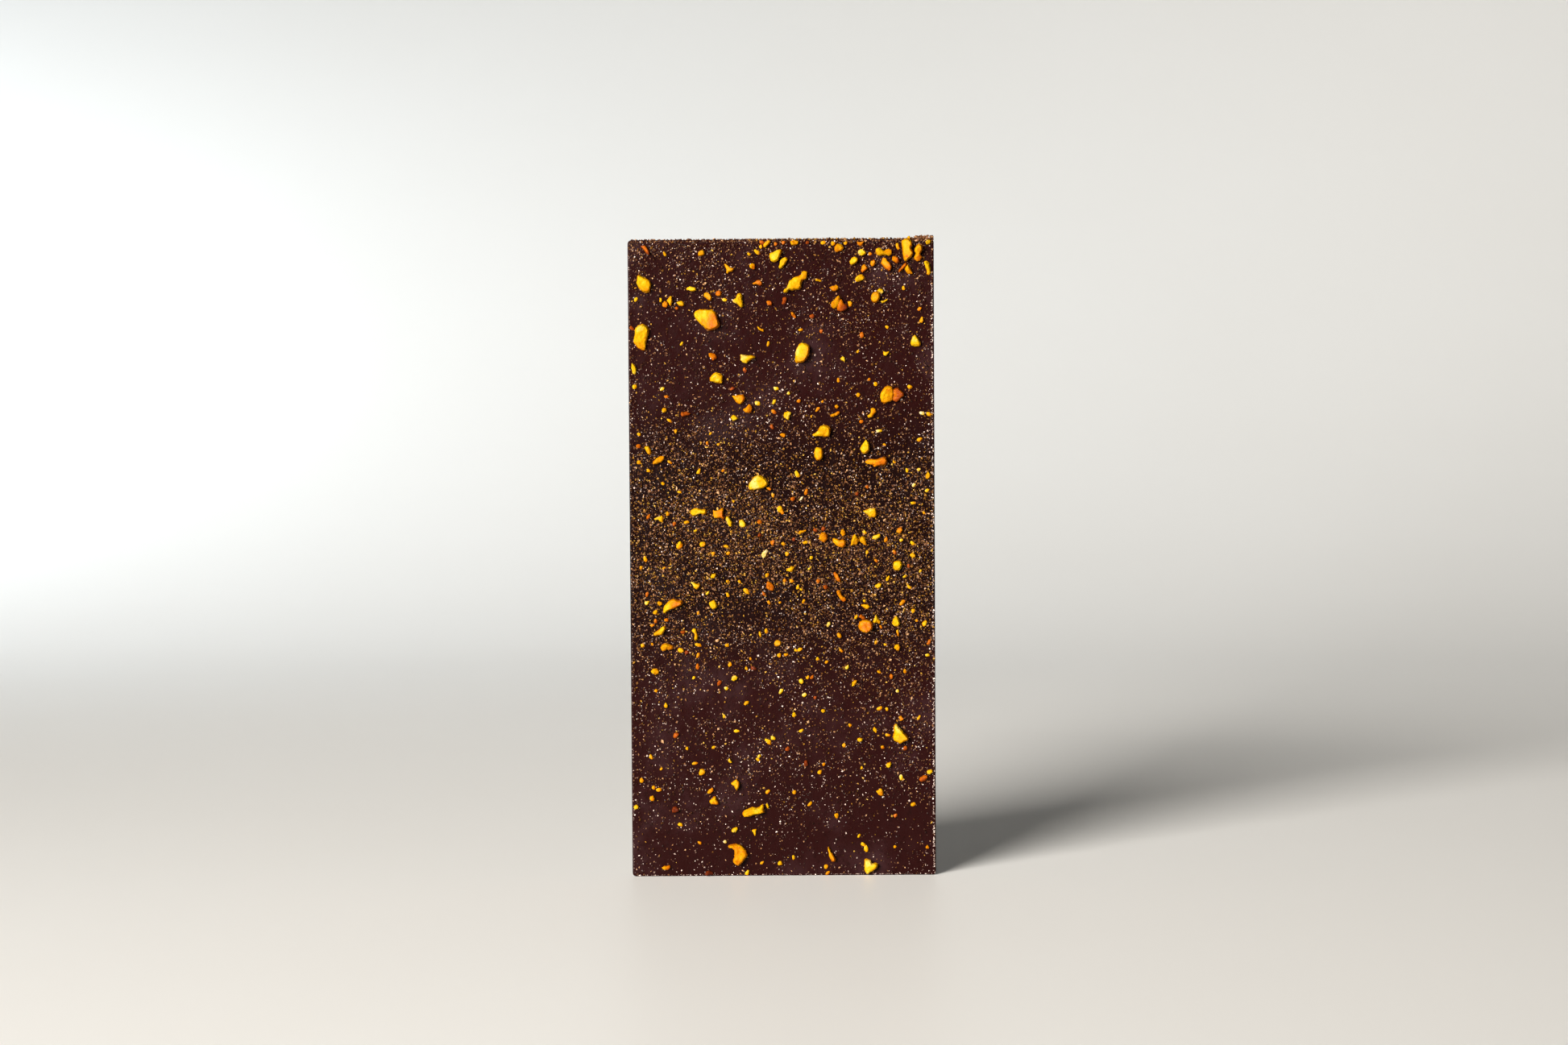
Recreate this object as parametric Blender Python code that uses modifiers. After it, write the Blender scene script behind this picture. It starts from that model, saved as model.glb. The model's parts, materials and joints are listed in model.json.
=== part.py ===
"""A bar of dark chocolate strewn with crushed honeycomb, standing on its short end.

Metres, +Z up. The origin is the middle of the flat foot, the strewn face looks along -Y and the moulded face,
with its two columns of five tiles, along +Y. The bar and the honeycomb that has set into it are one solid.
"""

import math
import random

import bmesh
import bpy
from mathutils import Matrix, Vector

MM = 0.001

# The slab
BAR_WIDTH = 76.5 * MM
BAR_HEIGHT = 160.0 * MM
BAR_THICKNESS = 8.0 * MM
EDGE_ROUND = 1.0 * MM
STREWN_EDGE_SHARE = 0.35
EDGE_STEPS = 2

# The tiles of the moulded face
TILE_COLUMNS = 2
TILE_ROWS = 5
GROOVE_WIDTH = 6.0 * MM
GROOVE_FLOOR = 1.6 * MM
GROOVE_DEPTH = 3.0 * MM
GROOVE_OVERRUN = 4.0 * MM

# How the honeycomb sits: heights over and under the strewn face, as shares of a piece's short side
PROUD_SHARE = 0.55
SUNK_SHARE = 0.22

# A piece at least this long starts as a ball of 80 faces, and a smaller one as a ball of 20
LONG_PIECE = 2.8 * MM

# The pieces over 2 mm, from the top of the bar down, in millimetres: how far across from the left edge and up
# from the foot the middle is, the long side, the short side, and the turn in degrees from level, anticlockwise.
LUMPS = (
    (36.9, 155.6, 3.9, 2.9, 40),
    (56.5, 154.4, 2.4, 2.0, 20),
    (58.3, 156.7, 2.0, 1.6, -15),
    (25.4, 152.5, 2.5, 1.8, -50),
    (4.0, 148.9, 4.8, 3.7, -60),
    (42.3, 148.9, 4.6, 3.8, 35),
    (62.0, 145.5, 3.0, 2.8, 60),
    (51.8, 144.2, 3.0, 2.8, 60),
    (53.8, 142.8, 2.8, 2.2, -40),
    (19.7, 140.0, 6.8, 5.4, -28),
    (43.5, 131.6, 5.4, 3.9, 72),
    (22.1, 125.5, 3.6, 3.0, 10),
    (64.2, 121.0, 3.7, 3.5, 70),
    (67.0, 121.1, 3.5, 3.2, -20),
    (29.9, 117.9, 2.5, 2.2, 60),
    (47.3, 106.4, 3.4, 2.4, 95),
    (32.2, 99.1, 5.2, 3.6, 14),
    (48.4, 85.6, 2.7, 2.3, 75),
    (58.4, 84.5, 2.6, 2.3, 60),
    (67.1, 78.3, 2.7, 2.6, 0),
    (12.4, 83.5, 2.3, 1.8, 80),
    (20.8, 68.5, 2.5, 2.1, 85),
    (35.3, 73.1, 2.7, 2.2, -50),
    (58.9, 63.1, 3.9, 3.7, 0),
    (36.9, 58.7, 2.1, 1.9, 0),
    (6.1, 51.9, 2.2, 1.5, -22),
    (11.0, 16.9, 2.3, 1.9, 30),
    (62.4, 21.0, 2.1, 1.8, -50),
    (4.9, 157.4, 2.5, 1.6, -60),
    (41.9, 159.0, 2.9, 1.6, 10),
)
DROPS = (
    (71.8, 134.5, 3.3, 2.6, 92),
    (27.5, 144.9, 3.4, 2.2, 100),
    (39.7, 116.1, 2.3, 1.9, -95),
    (48.3, 111.8, 4.9, 2.9, 198),
    (58.9, 107.9, 3.8, 2.5, 80),
    (28.3, 89.1, 2.4, 1.8, 110),
    (66.7, 63.9, 3.4, 2.3, 92),
    (67.7, 36.0, 5.8, 3.8, 112),
    (26.1, 23.4, 2.9, 1.9, -90),
    (29.9, 130.3, 3.9, 2.1, 12),
    (60.6, 91.6, 3.5, 2.4, 172),
    (7.2, 90.3, 2.6, 1.8, 178),
    (51.5, 147.8, 2.5, 1.5, 180),
    (20.6, 19.2, 2.6, 1.9, 130),
)
CHIPS = (
    (3.2, 135.7, 6.9, 3.7, 77),
    (52.9, 157.9, 2.6, 2.2, 30),
    (58.1, 150.3, 2.7, 1.9, 25),
    (27.8, 120.1, 3.2, 2.8, -20),
    (61.9, 104.3, 5.8, 2.3, 5),
    (56.3, 84.6, 3.2, 1.8, 68),
    (52.8, 83.9, 3.4, 2.2, -12),
    (10.9, 68.4, 6.1, 2.5, 28),
    (7.4, 62.1, 3.8, 1.8, 32),
    (52.0, 75.3, 3.2, 1.6, -60),
    (7.4, 105.0, 3.7, 1.6, 34),
    (62.3, 73.1, 2.1, 1.5, 12),
    (73.4, 24.4, 2.4, 1.4, 15),
    (14.2, 116.5, 2.8, 1.5, -12),
    (31.0, 16.7, 5.8, 1.9, 10),
    (59.6, 2.4, 3.9, 3.2, 50),
)
WAISTED = (
    (38.9, 154.0, 3.5, 1.8, 58),
    (69.8, 157.0, 6.4, 2.6, 92),
    (72.5, 156.4, 4.8, 2.3, 88),
    (64.0, 156.6, 4.4, 1.9, -2),
    (64.9, 153.7, 4.0, 2.0, -62),
    (67.1, 154.6, 2.6, 2.0, -45),
    (68.6, 152.4, 2.6, 1.3, 48),
    (70.4, 152.3, 2.8, 1.6, -48),
    (74.8, 152.7, 3.8, 1.4, 102),
    (17.2, 92.0, 4.4, 2.1, -3),
    (9.3, 58.0, 3.6, 2.0, -8),
    (16.2, 61.4, 3.4, 1.4, -70),
    (12.6, 57.1, 2.2, 1.5, -20),
    (37.6, 92.3, 2.7, 1.3, -60),
    (59.1, 152.6, 2.4, 1.6, 65),
    (10.1, 144.8, 2.8, 1.7, 42),
)
SLIVERS = (
    (24.8, 89.6, 3.1, 1.5, -62),
    (53.0, 70.6, 4.2, 1.2, -55),
    (50.5, 5.1, 3.7, 1.1, -68),
    (45.0, 151.0, 2.9, 1.5, 38),
    (39.6, 147.2, 1.8, 1.2, 45),
    (34.9, 158.9, 2.8, 1.4, 62),
    (1.3, 128.4, 3.0, 1.2, 95),
    (61.0, 116.6, 2.6, 1.6, 60),
    (51.8, 116.1, 2.7, 1.0, 20),
    (4.6, 107.5, 2.7, 1.2, 112),
    (43.1, 86.8, 2.5, 1.1, 14),
    (16.5, 73.6, 2.7, 1.3, -28),
    (61.8, 85.5, 2.4, 1.1, 15),
    (58.9, 68.0, 2.5, 1.2, -12),
    (32.5, 149.1, 2.6, 1.4, -8),
    (33.5, 137.7, 2.2, 1.0, -28),
    (8.4, 2.2, 2.7, 1.2, 8),
    (75.0, 160.3, 3.6, 1.4, 14),
)
SPIKED = (
    (22.4, 91.6, 3.2, 2.8, 40),
    (61.9, 63.2, 2.5, 2.0, 70),
)
CURLED = (
    (27.5, 5.3, 6.2, 2.6, -72),
)

# The beads under 2 mm, strewn by chance over the whole face and more thickly across its middle
BEAD_SEED = 11
BEAD_COUNT = 112
BEAD_LEAST = 0.95 * MM
BEAD_MOST = 1.75 * MM
BEAD_MARGIN = 1.6 * MM
BEAD_GAP = 0.25 * MM
BAND_MIDDLE = 82.0 * MM
BAND_SPREAD = 34.0 * MM
BAND_FLOOR = 0.35

# The rim of beads that has run along the top edge
TOP_BEADS_FROM = 30.0 * MM
TOP_BEADS_TO = 62.0 * MM
TOP_BEADS = 11
TOP_BEAD_LEVEL = 159.2 * MM

NUGGET_TURN_SEED = 4
FACE_Y = -BAR_THICKNESS / 2


def clear_scene():
    for thing in list(bpy.data.objects):
        bpy.data.objects.remove(thing, do_unlink=True)


def new_collection(name):
    made = bpy.data.collections.new(name)
    bpy.context.scene.collection.children.link(made)
    return made


def material(name, colour, roughness):
    made = bpy.data.materials.new(name)
    made.use_nodes = True
    shader = made.node_tree.nodes["Principled BSDF"]
    shader.inputs["Base Color"].default_value = (*colour, 1.0)
    shader.inputs["Roughness"].default_value = roughness
    shader.inputs["Metallic"].default_value = 0.0
    made.diffuse_color = (*colour, 1.0)
    return made


def object_from(name, shape, collection, finish):
    mesh = bpy.data.meshes.new(name)
    shape.to_mesh(mesh)
    shape.free()
    mesh.materials.append(finish)
    made = bpy.data.objects.new(name, mesh)
    collection.objects.link(made)
    return made


def slab(collection, finish):
    """The block that the mould gives, its strewn edges sharper than its moulded ones."""
    shape = bmesh.new()
    bmesh.ops.create_cube(shape, size=1.0)
    bmesh.ops.scale(shape, verts=shape.verts, vec=(BAR_WIDTH, BAR_THICKNESS, BAR_HEIGHT))
    bmesh.ops.translate(shape, verts=shape.verts, vec=(0, 0, BAR_HEIGHT / 2))
    made = object_from("honeycomb_chocolate_bar", shape, collection, finish)
    weights = made.data.attributes.new("bevel_weight_edge", "FLOAT", "EDGE")
    for edge in made.data.edges:
        on_strewn_face = all(made.data.vertices[v].co.y < 0 for v in edge.vertices)
        weights.data[edge.index].value = STREWN_EDGE_SHARE if on_strewn_face else 1.0
    bevel = made.modifiers.new("Rounded edges", "BEVEL")
    bevel.limit_method = "WEIGHT"
    bevel.width = EDGE_ROUND
    bevel.segments = EDGE_STEPS
    return made


def groove_cutter(name, length, middle, upright, collection, finish):
    """A bar with sloping sides that cuts one groove out of the moulded face."""
    shape = bmesh.new()
    bmesh.ops.create_cube(shape, size=1.0)
    slope_out = (GROOVE_WIDTH - GROOVE_FLOOR) / 2 / GROOVE_DEPTH
    for corner in shape.verts:
        outside = corner.co.y > 0
        half = GROOVE_WIDTH / 2 + slope_out * GROOVE_OVERRUN if outside else GROOVE_FLOOR / 2
        corner.co.x *= length
        corner.co.z = math.copysign(half, corner.co.z)
        corner.co.y = GROOVE_OVERRUN if outside else -GROOVE_DEPTH
    made = object_from(name, shape, collection, finish)
    made.location = middle
    made.rotation_euler.y = math.radians(90) if upright else 0.0
    made.hide_render = True
    made.display_type = "WIRE"
    return made


def groove_cutters(collection, finish):
    row_height = BAR_HEIGHT / TILE_ROWS
    for row in range(1, TILE_ROWS):
        middle = (0, BAR_THICKNESS / 2, row * row_height)
        groove_cutter(f"level_groove_{row}", BAR_WIDTH * 1.2, middle, False, collection, finish)
    column_width = BAR_WIDTH / TILE_COLUMNS
    for column in range(1, TILE_COLUMNS):
        middle = (column * column_width - BAR_WIDTH / 2, BAR_THICKNESS / 2, BAR_HEIGHT / 2)
        groove_cutter(f"upright_groove_{column}", BAR_HEIGHT * 1.2, middle, True, collection, finish)


def lump(point, waves):
    """A ball with soft bumps."""
    bump = sum(math.cos(wave.dot(point)) for wave in waves) / len(waves)
    return point * (0.97 + 0.13 * bump)


def drop(point, waves):
    """Round at one end and drawn out to a tail at the other."""
    along = (point.x + 1) / 2
    girth = 1.08 - 0.78 * along ** 1.4
    return Vector((point.x, point.y * girth, point.z * (0.4 + 0.6 * girth)))


def chip(point, waves):
    """A ball cut flat on a few sides, as broken sheets of honeycomb are."""
    cut = point * 1.22
    for wave in waves:
        side = Vector((wave.x * 0.5, wave.y, wave.z)).normalized()
        over = cut.dot(side) - 0.72
        if over > 0:
            cut = cut - side * over
    return cut


def waisted(point, waves):
    """Two beads run together."""
    girth = 0.6 + 0.62 * point.x * point.x
    swell = 1.0 + 0.12 * point.x
    return Vector((point.x, point.y * girth * swell, point.z * girth))


def sliver(point, waves):
    """A thin splinter, thicker at one end."""
    girth = 0.86 - 0.3 * point.x
    lean = 0.12 * math.sin(2.4 * point.x)
    return Vector((point.x, point.y * girth + lean, point.z))


def spiked(point, waves):
    """A broken corner between bubbles: four points with hollow sides."""
    angle = math.atan2(point.y, point.x)
    reach = 0.86 + 0.3 * math.cos(4 * angle) * math.hypot(point.x, point.y)
    return Vector((point.x * reach, point.y * reach, point.z))


def curled(point, waves):
    """A crescent, thick in the middle."""
    girth = 0.72 + 0.42 * (1 - point.x * point.x)
    return Vector((point.x, point.y * girth + 0.5 * (0.45 - point.x * point.x), point.z))


def nugget(name, form, across, up, long_side, short_side, turn, draw, collection, finish):
    """One piece of honeycomb, set into the strewn face at its place."""
    fineness = 2 if long_side >= LONG_PIECE else 1
    shape = bmesh.new()
    bmesh.ops.create_icosphere(shape, subdivisions=fineness, radius=1.0)
    waves = [
        Vector((draw.uniform(-2.6, 2.6), draw.uniform(-2.6, 2.6), draw.uniform(-2.6, 2.6)))
        for _ in range(5)
    ]
    depth = (PROUD_SHARE + SUNK_SHARE) * short_side
    for corner in shape.verts:
        formed = form(corner.co.copy(), waves)
        corner.co = Vector(
            (formed.x * long_side / 2, formed.y * short_side / 2, formed.z * depth / 2)
        )
    # The form lies in X and Y with its height along Z, and is stood up against the face.
    lay_on_face = Matrix.Rotation(math.radians(90), 4, "X")
    turned = Matrix.Rotation(math.radians(turn), 4, "Z")
    middle_y = FACE_Y - (PROUD_SHARE - SUNK_SHARE) / 2 * short_side
    place = Matrix.Translation((across - BAR_WIDTH / 2, middle_y, up))
    bmesh.ops.transform(shape, verts=shape.verts, matrix=place @ lay_on_face @ turned)
    return object_from(name, shape, collection, finish)


def placed_nuggets(collection, finish):
    draw = random.Random(NUGGET_TURN_SEED)
    groups = (
        ("lump", lump, LUMPS),
        ("drop", drop, DROPS),
        ("chip", chip, CHIPS),
        ("waisted", waisted, WAISTED),
        ("sliver", sliver, SLIVERS),
        ("spiked", spiked, SPIKED),
        ("curled", curled, CURLED),
    )
    for name, form, rows in groups:
        for number, (across, up, long_side, short_side, turn) in enumerate(rows):
            nugget(
                f"{name}_{number}", form, across * MM, up * MM, long_side * MM, short_side * MM,
                turn, draw, collection, finish,
            )


def far_from_nuggets(across, up, radius):
    for rows in (LUMPS, DROPS, CHIPS, WAISTED, SLIVERS, SPIKED, CURLED):
        for row in rows:
            reach = row[2] * MM / 2 + radius + BEAD_GAP
            if math.hypot(across - row[0] * MM, up - row[1] * MM) < reach:
                return False
    return True


def bead_places():
    """(across, up, size) of each bead. A place is kept by the band's thickness there, clear of other pieces."""
    draw = random.Random(BEAD_SEED)
    kept = []
    for number in range(TOP_BEADS):
        share = (number + draw.uniform(-0.3, 0.3)) / (TOP_BEADS - 1)
        across = TOP_BEADS_FROM + share * (TOP_BEADS_TO - TOP_BEADS_FROM)
        size = draw.uniform(BEAD_LEAST, BEAD_MOST)
        up = TOP_BEAD_LEVEL + draw.uniform(-0.5, 0.2) * MM
        if far_from_nuggets(across, up, size / 2):
            kept.append((across, up, size))
    while len(kept) < BEAD_COUNT:
        across = draw.uniform(BEAD_MARGIN, BAR_WIDTH - BEAD_MARGIN)
        up = draw.uniform(BEAD_MARGIN, BAR_HEIGHT - BEAD_MARGIN)
        size = BEAD_LEAST + (BEAD_MOST - BEAD_LEAST) * draw.random() ** 2
        from_middle = (up - BAND_MIDDLE) / BAND_SPREAD
        thickness = BAND_FLOOR + (1 - BAND_FLOOR) * math.exp(-from_middle * from_middle)
        if draw.random() > thickness or not far_from_nuggets(across, up, size / 2):
            continue
        if all(math.hypot(across - a, up - u) > (size + s) / 2 + BEAD_GAP for a, u, s in kept):
            kept.append((across, up, size))
    return kept


def beads(collection, finish):
    draw = random.Random(BEAD_SEED + 1)
    for number, (across, up, size) in enumerate(bead_places()):
        turn = draw.uniform(0, 180)
        nugget(f"bead_{number}", lump, across, up, size * 1.15, size, turn, draw, collection, finish)


def apply_boolean(target, operation, collection):
    """Joins or cuts target with everything in a collection, for good, and clears the collection away."""
    boolean = target.modifiers.new("Boolean", "BOOLEAN")
    boolean.operation = operation
    boolean.operand_type = "COLLECTION"
    boolean.collection = collection
    boolean.solver = "EXACT"
    boolean.material_mode = "TRANSFER"
    bpy.context.view_layer.objects.active = target
    for step in list(target.modifiers):
        bpy.ops.object.modifier_apply(modifier=step.name)
    for thing in list(collection.objects):
        bpy.data.objects.remove(thing, do_unlink=True)
    bpy.data.collections.remove(collection)


def main():
    clear_scene()
    chocolate = material("dark_chocolate", (0.045, 0.019, 0.021), 0.42)
    honeycomb = material("honeycomb", (0.85, 0.42, 0.012), 0.35)
    bar_pieces = new_collection("honeycomb_chocolate_bar")
    bar = slab(bar_pieces, chocolate)

    cutters = new_collection("groove_cutters")
    groove_cutters(cutters, chocolate)
    apply_boolean(bar, "DIFFERENCE", cutters)

    toppings = new_collection("toppings")
    placed_nuggets(toppings, honeycomb)
    beads(toppings, honeycomb)
    apply_boolean(bar, "UNION", toppings)


main()
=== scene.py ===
import json
import math

import bmesh
import bpy
import numpy as np
from mathutils import Matrix, Vector
from mathutils.bvhtree import BVHTree

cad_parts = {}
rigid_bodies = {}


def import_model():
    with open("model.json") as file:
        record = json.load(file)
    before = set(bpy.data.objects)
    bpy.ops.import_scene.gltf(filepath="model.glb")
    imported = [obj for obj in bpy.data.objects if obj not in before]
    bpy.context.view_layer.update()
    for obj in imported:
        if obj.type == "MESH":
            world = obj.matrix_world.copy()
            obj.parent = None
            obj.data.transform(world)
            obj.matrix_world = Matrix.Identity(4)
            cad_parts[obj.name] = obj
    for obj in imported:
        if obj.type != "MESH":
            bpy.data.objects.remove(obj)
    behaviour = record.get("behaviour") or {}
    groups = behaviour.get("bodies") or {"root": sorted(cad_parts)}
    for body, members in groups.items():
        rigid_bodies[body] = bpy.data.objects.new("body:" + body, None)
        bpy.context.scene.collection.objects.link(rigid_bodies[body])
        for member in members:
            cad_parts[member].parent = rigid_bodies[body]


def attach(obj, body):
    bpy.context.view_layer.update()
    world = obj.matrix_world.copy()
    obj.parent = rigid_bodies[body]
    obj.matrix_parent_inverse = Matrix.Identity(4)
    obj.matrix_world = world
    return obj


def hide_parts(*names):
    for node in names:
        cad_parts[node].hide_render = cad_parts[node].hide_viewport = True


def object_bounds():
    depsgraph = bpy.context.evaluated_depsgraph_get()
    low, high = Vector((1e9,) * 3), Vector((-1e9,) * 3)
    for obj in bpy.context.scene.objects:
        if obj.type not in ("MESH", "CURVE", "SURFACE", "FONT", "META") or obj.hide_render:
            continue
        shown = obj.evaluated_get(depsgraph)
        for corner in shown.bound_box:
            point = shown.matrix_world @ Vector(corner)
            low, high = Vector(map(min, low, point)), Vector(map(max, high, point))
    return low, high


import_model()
cad_low, cad_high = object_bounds()


# The bar
# Dark chocolate, tempered, poured into a tablet mould and knocked level. The open side of the mould became
# the strewn face, with a thin raised lip round it, and the mould itself gave a smooth back of two columns
# of five tiles to snap apart.

MM = 0.001
BAR_WIDTH = 76.5 * MM
BAR_HEIGHT = 160.0 * MM
BAR_THICKNESS = 8.0 * MM
FACE_Y = -BAR_THICKNESS / 2
BACK_Y = BAR_THICKNESS / 2
TILE_COLUMNS = 2
TILE_ROWS = 5
GROOVE_WIDTH = 6.0 * MM
GROOVE_FLOOR = 1.6 * MM
GROOVE_DEPTH = 3.0 * MM
GROOVE_OVERRUN = 2.0 * MM
EDGE_ROUND = 1.0 * MM
FACE_EDGE_SHARE = 0.35
TILE_EDGE_SHARE = 0.45
FACE_EDGE_Y = FACE_Y + FACE_EDGE_SHARE * EDGE_ROUND
FINE_MARGIN = 1.5 * MM
FINE_CUTS = 159
RIPPLE_SIZE = 9.0 * MM
RIPPLE_RISE = 0.22 * MM
DIMPLE_SIZE = 1.9 * MM
DIMPLE_RISE = 0.11 * MM
LIP_WIDTH = 0.9 * MM
LIP_RISE = 0.3 * MM
LIP_GRAIN = 1.6 * MM
LIP_LEVEL = 0.9
BAR_SMOOTH_ANGLE = math.radians(32)
NEARLY = 0.02 * MM
# How far behind the strewn face the smooth moulded chocolate starts.
MOULDED_FROM = 0.9 * MM


def deselect_all():
    bpy.ops.object.select_all(action="DESELECT")


def select_only(piece):
    deselect_all()
    piece.select_set(True)
    bpy.context.view_layer.objects.active = piece


def select_parts(piece, kind, wanted):
    """In edit mode, selects the faces or edges of the piece for which wanted says yes, and nothing else."""
    bpy.ops.mesh.select_mode(type="EDGE" if kind == "edges" else "FACE")
    bpy.ops.mesh.select_all(action="DESELECT")
    shape = bmesh.from_edit_mesh(piece.data)
    for part in getattr(shape, kind):
        if wanted(part):
            part.select_set(True)
    bmesh.update_edit_mesh(piece.data)


def apply_modifiers(piece):
    select_only(piece)
    for modifier in list(piece.modifiers):
        bpy.ops.object.modifier_apply(modifier=modifier.name)


def cloud_texture(name, size, depth=2):
    texture = bpy.data.textures.new(name, "CLOUDS")
    texture.noise_scale = size
    texture.noise_depth = depth
    return texture


def add_relief(piece, texture, rise, direction="NORMAL", group="", level=0.5):
    """Moves the surface by rise times how far the texture, which runs from 0 to 1, is over level."""
    relief = piece.modifiers.new(texture.name, "DISPLACE")
    relief.texture = texture
    relief.texture_coords = "LOCAL"
    relief.direction = direction
    relief.strength = rise
    relief.mid_level = level
    relief.vertex_group = group


def add_block(name, low, high):
    """A cube primitive between two corners, its place and size in its mesh."""
    low, high = Vector(low), Vector(high)
    deselect_all()
    bpy.ops.mesh.primitive_cube_add(size=1.0, location=(low + high) / 2, scale=high - low)
    bpy.ops.object.transform_apply(location=True, rotation=True, scale=True)
    block = bpy.context.object
    block.name = name
    return block


bar = add_block(
    "chocolate_bar",
    (-BAR_WIDTH / 2, FACE_Y, 0),
    (BAR_WIDTH / 2, BACK_Y, BAR_HEIGHT),
)

groove_cutters = bpy.data.collections.new("groove_cutters")
bpy.context.scene.collection.children.link(groove_cutters)


def add_groove_cutter(name, axis, place):
    """A wedge across the back, narrowed towards its floor, that lies at a place along an axis."""
    reach = GROOVE_OVERRUN / GROOVE_DEPTH
    mouth = GROOVE_WIDTH + (GROOVE_WIDTH - GROOVE_FLOOR) * reach
    low = [-BAR_WIDTH, BACK_Y - GROOVE_DEPTH, -BAR_HEIGHT * 0.1]
    high = [BAR_WIDTH, BACK_Y + GROOVE_OVERRUN, BAR_HEIGHT * 1.1]
    low[axis], high[axis] = place - mouth / 2, place + mouth / 2
    cutter = add_block(name, low, high)
    bpy.ops.object.mode_set(mode="EDIT")
    select_parts(cutter, "faces", lambda face: face.normal.y < -0.5)
    narrow = [1.0, 1.0, 1.0]
    narrow[axis] = GROOVE_FLOOR / mouth
    floor_middle = ((low[0] + high[0]) / 2, low[1], (low[2] + high[2]) / 2)
    bpy.ops.transform.resize(value=narrow, center_override=floor_middle)
    bpy.ops.object.mode_set(mode="OBJECT")
    for home in list(cutter.users_collection):
        home.objects.unlink(cutter)
    groove_cutters.objects.link(cutter)


for row in range(1, TILE_ROWS):
    add_groove_cutter(f"level_groove_{row}", 2, row * BAR_HEIGHT / TILE_ROWS)
for column in range(1, TILE_COLUMNS):
    add_groove_cutter(f"upright_groove_{column}", 0, column * BAR_WIDTH / TILE_COLUMNS - BAR_WIDTH / 2)

grooves = bar.modifiers.new("Grooves", "BOOLEAN")
grooves.operation = "DIFFERENCE"
grooves.operand_type = "COLLECTION"
grooves.collection = groove_cutters
grooves.solver = "EXACT"
apply_modifiers(bar)
for cutter in list(groove_cutters.objects):
    bpy.data.objects.remove(cutter, do_unlink=True)
bpy.data.collections.remove(groove_cutters)


def edge_weight(edge):
    """How much of the full rounding an edge gets: the strewn side is sharp, as it wasn't moulded."""
    a, b = (bar.data.vertices[index].co for index in edge.vertices)
    on_face = max(a.y, b.y) < FACE_Y + NEARLY
    on_back = min(a.y, b.y) > BACK_Y - NEARLY
    at_side = abs(a.x) > BAR_WIDTH / 2 - NEARLY and abs(b.x) > BAR_WIDTH / 2 - NEARLY and a.x * b.x > 0
    at_top = min(a.z, b.z) > BAR_HEIGHT - NEARLY
    at_foot = max(a.z, b.z) < NEARLY
    if on_face:
        return FACE_EDGE_SHARE
    if on_back and (at_side or at_top or at_foot):
        return 1.0
    if on_back:
        return TILE_EDGE_SHARE
    if at_side and (at_top or at_foot) and abs(a.y - b.y) > BAR_THICKNESS - NEARLY:
        return 1.0
    return 0.0


weights = bar.data.attributes.new("bevel_weight_edge", "FLOAT", "EDGE")
for edge in bar.data.edges:
    weights.data[edge.index].value = edge_weight(edge)
rounding = bar.modifiers.new("Rounded edges", "BEVEL")
rounding.limit_method = "WEIGHT"
rounding.width = EDGE_ROUND
rounding.segments = 4
apply_modifiers(bar)

# The strewn face is cut fine enough to carry its ripples: first into two quads and a frame, then into
# small squares.
bpy.ops.object.mode_set(mode="EDIT")
side_cut = BAR_WIDTH / 2 - FINE_MARGIN
face_cuts = (
    ((-side_cut, 0, 0), (1, 0, 0)),
    ((side_cut, 0, 0), (1, 0, 0)),
    ((0, 0, FINE_MARGIN), (0, 0, 1)),
    ((0, 0, BAR_HEIGHT / 2), (0, 0, 1)),
    ((0, 0, BAR_HEIGHT - FINE_MARGIN), (0, 0, 1)),
)
for place, direction in face_cuts:
    select_parts(bar, "faces", lambda face: face.calc_center_median().y < FACE_EDGE_Y)
    bpy.ops.mesh.bisect(plane_co=place, plane_no=direction)
select_parts(
    bar,
    "edges",
    lambda edge: max(corner.co.y for corner in edge.verts) < FACE_EDGE_Y + NEARLY
    and edge.calc_length() > BAR_WIDTH / 2,
)
bpy.ops.mesh.subdivide(number_cuts=FINE_CUTS)
bpy.ops.object.mode_set(mode="OBJECT")

strewn = bar.vertex_groups.new(name="strewn_face")
lip = bar.vertex_groups.new(name="lip")
for corner in bar.data.vertices:
    if corner.co.y > FACE_EDGE_Y + NEARLY:
        continue
    strewn.add([corner.index], 1.0, "REPLACE")
    from_side = BAR_WIDTH / 2 - abs(corner.co.x)
    from_end = min(corner.co.z, BAR_HEIGHT - corner.co.z)
    from_rim = min(from_side, from_end)
    if from_rim < LIP_WIDTH:
        lip.add([corner.index], 1 - from_rim / LIP_WIDTH, "REPLACE")
add_relief(bar, cloud_texture("ripple", RIPPLE_SIZE), RIPPLE_RISE, "Y", "strewn_face")
add_relief(bar, cloud_texture("dimple", DIMPLE_SIZE), DIMPLE_RISE, "Y", "strewn_face")
add_relief(bar, cloud_texture("lip_relief", LIP_GRAIN), LIP_RISE, "Y", "lip", LIP_LEVEL)
apply_modifiers(bar)
bpy.ops.object.shade_smooth_by_angle(angle=BAR_SMOOTH_ANGLE)
bar.vertex_groups.clear()


# How wide the lumps of noise are at a scale of 1.
NOISE_LUMP = 0.6


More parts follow.
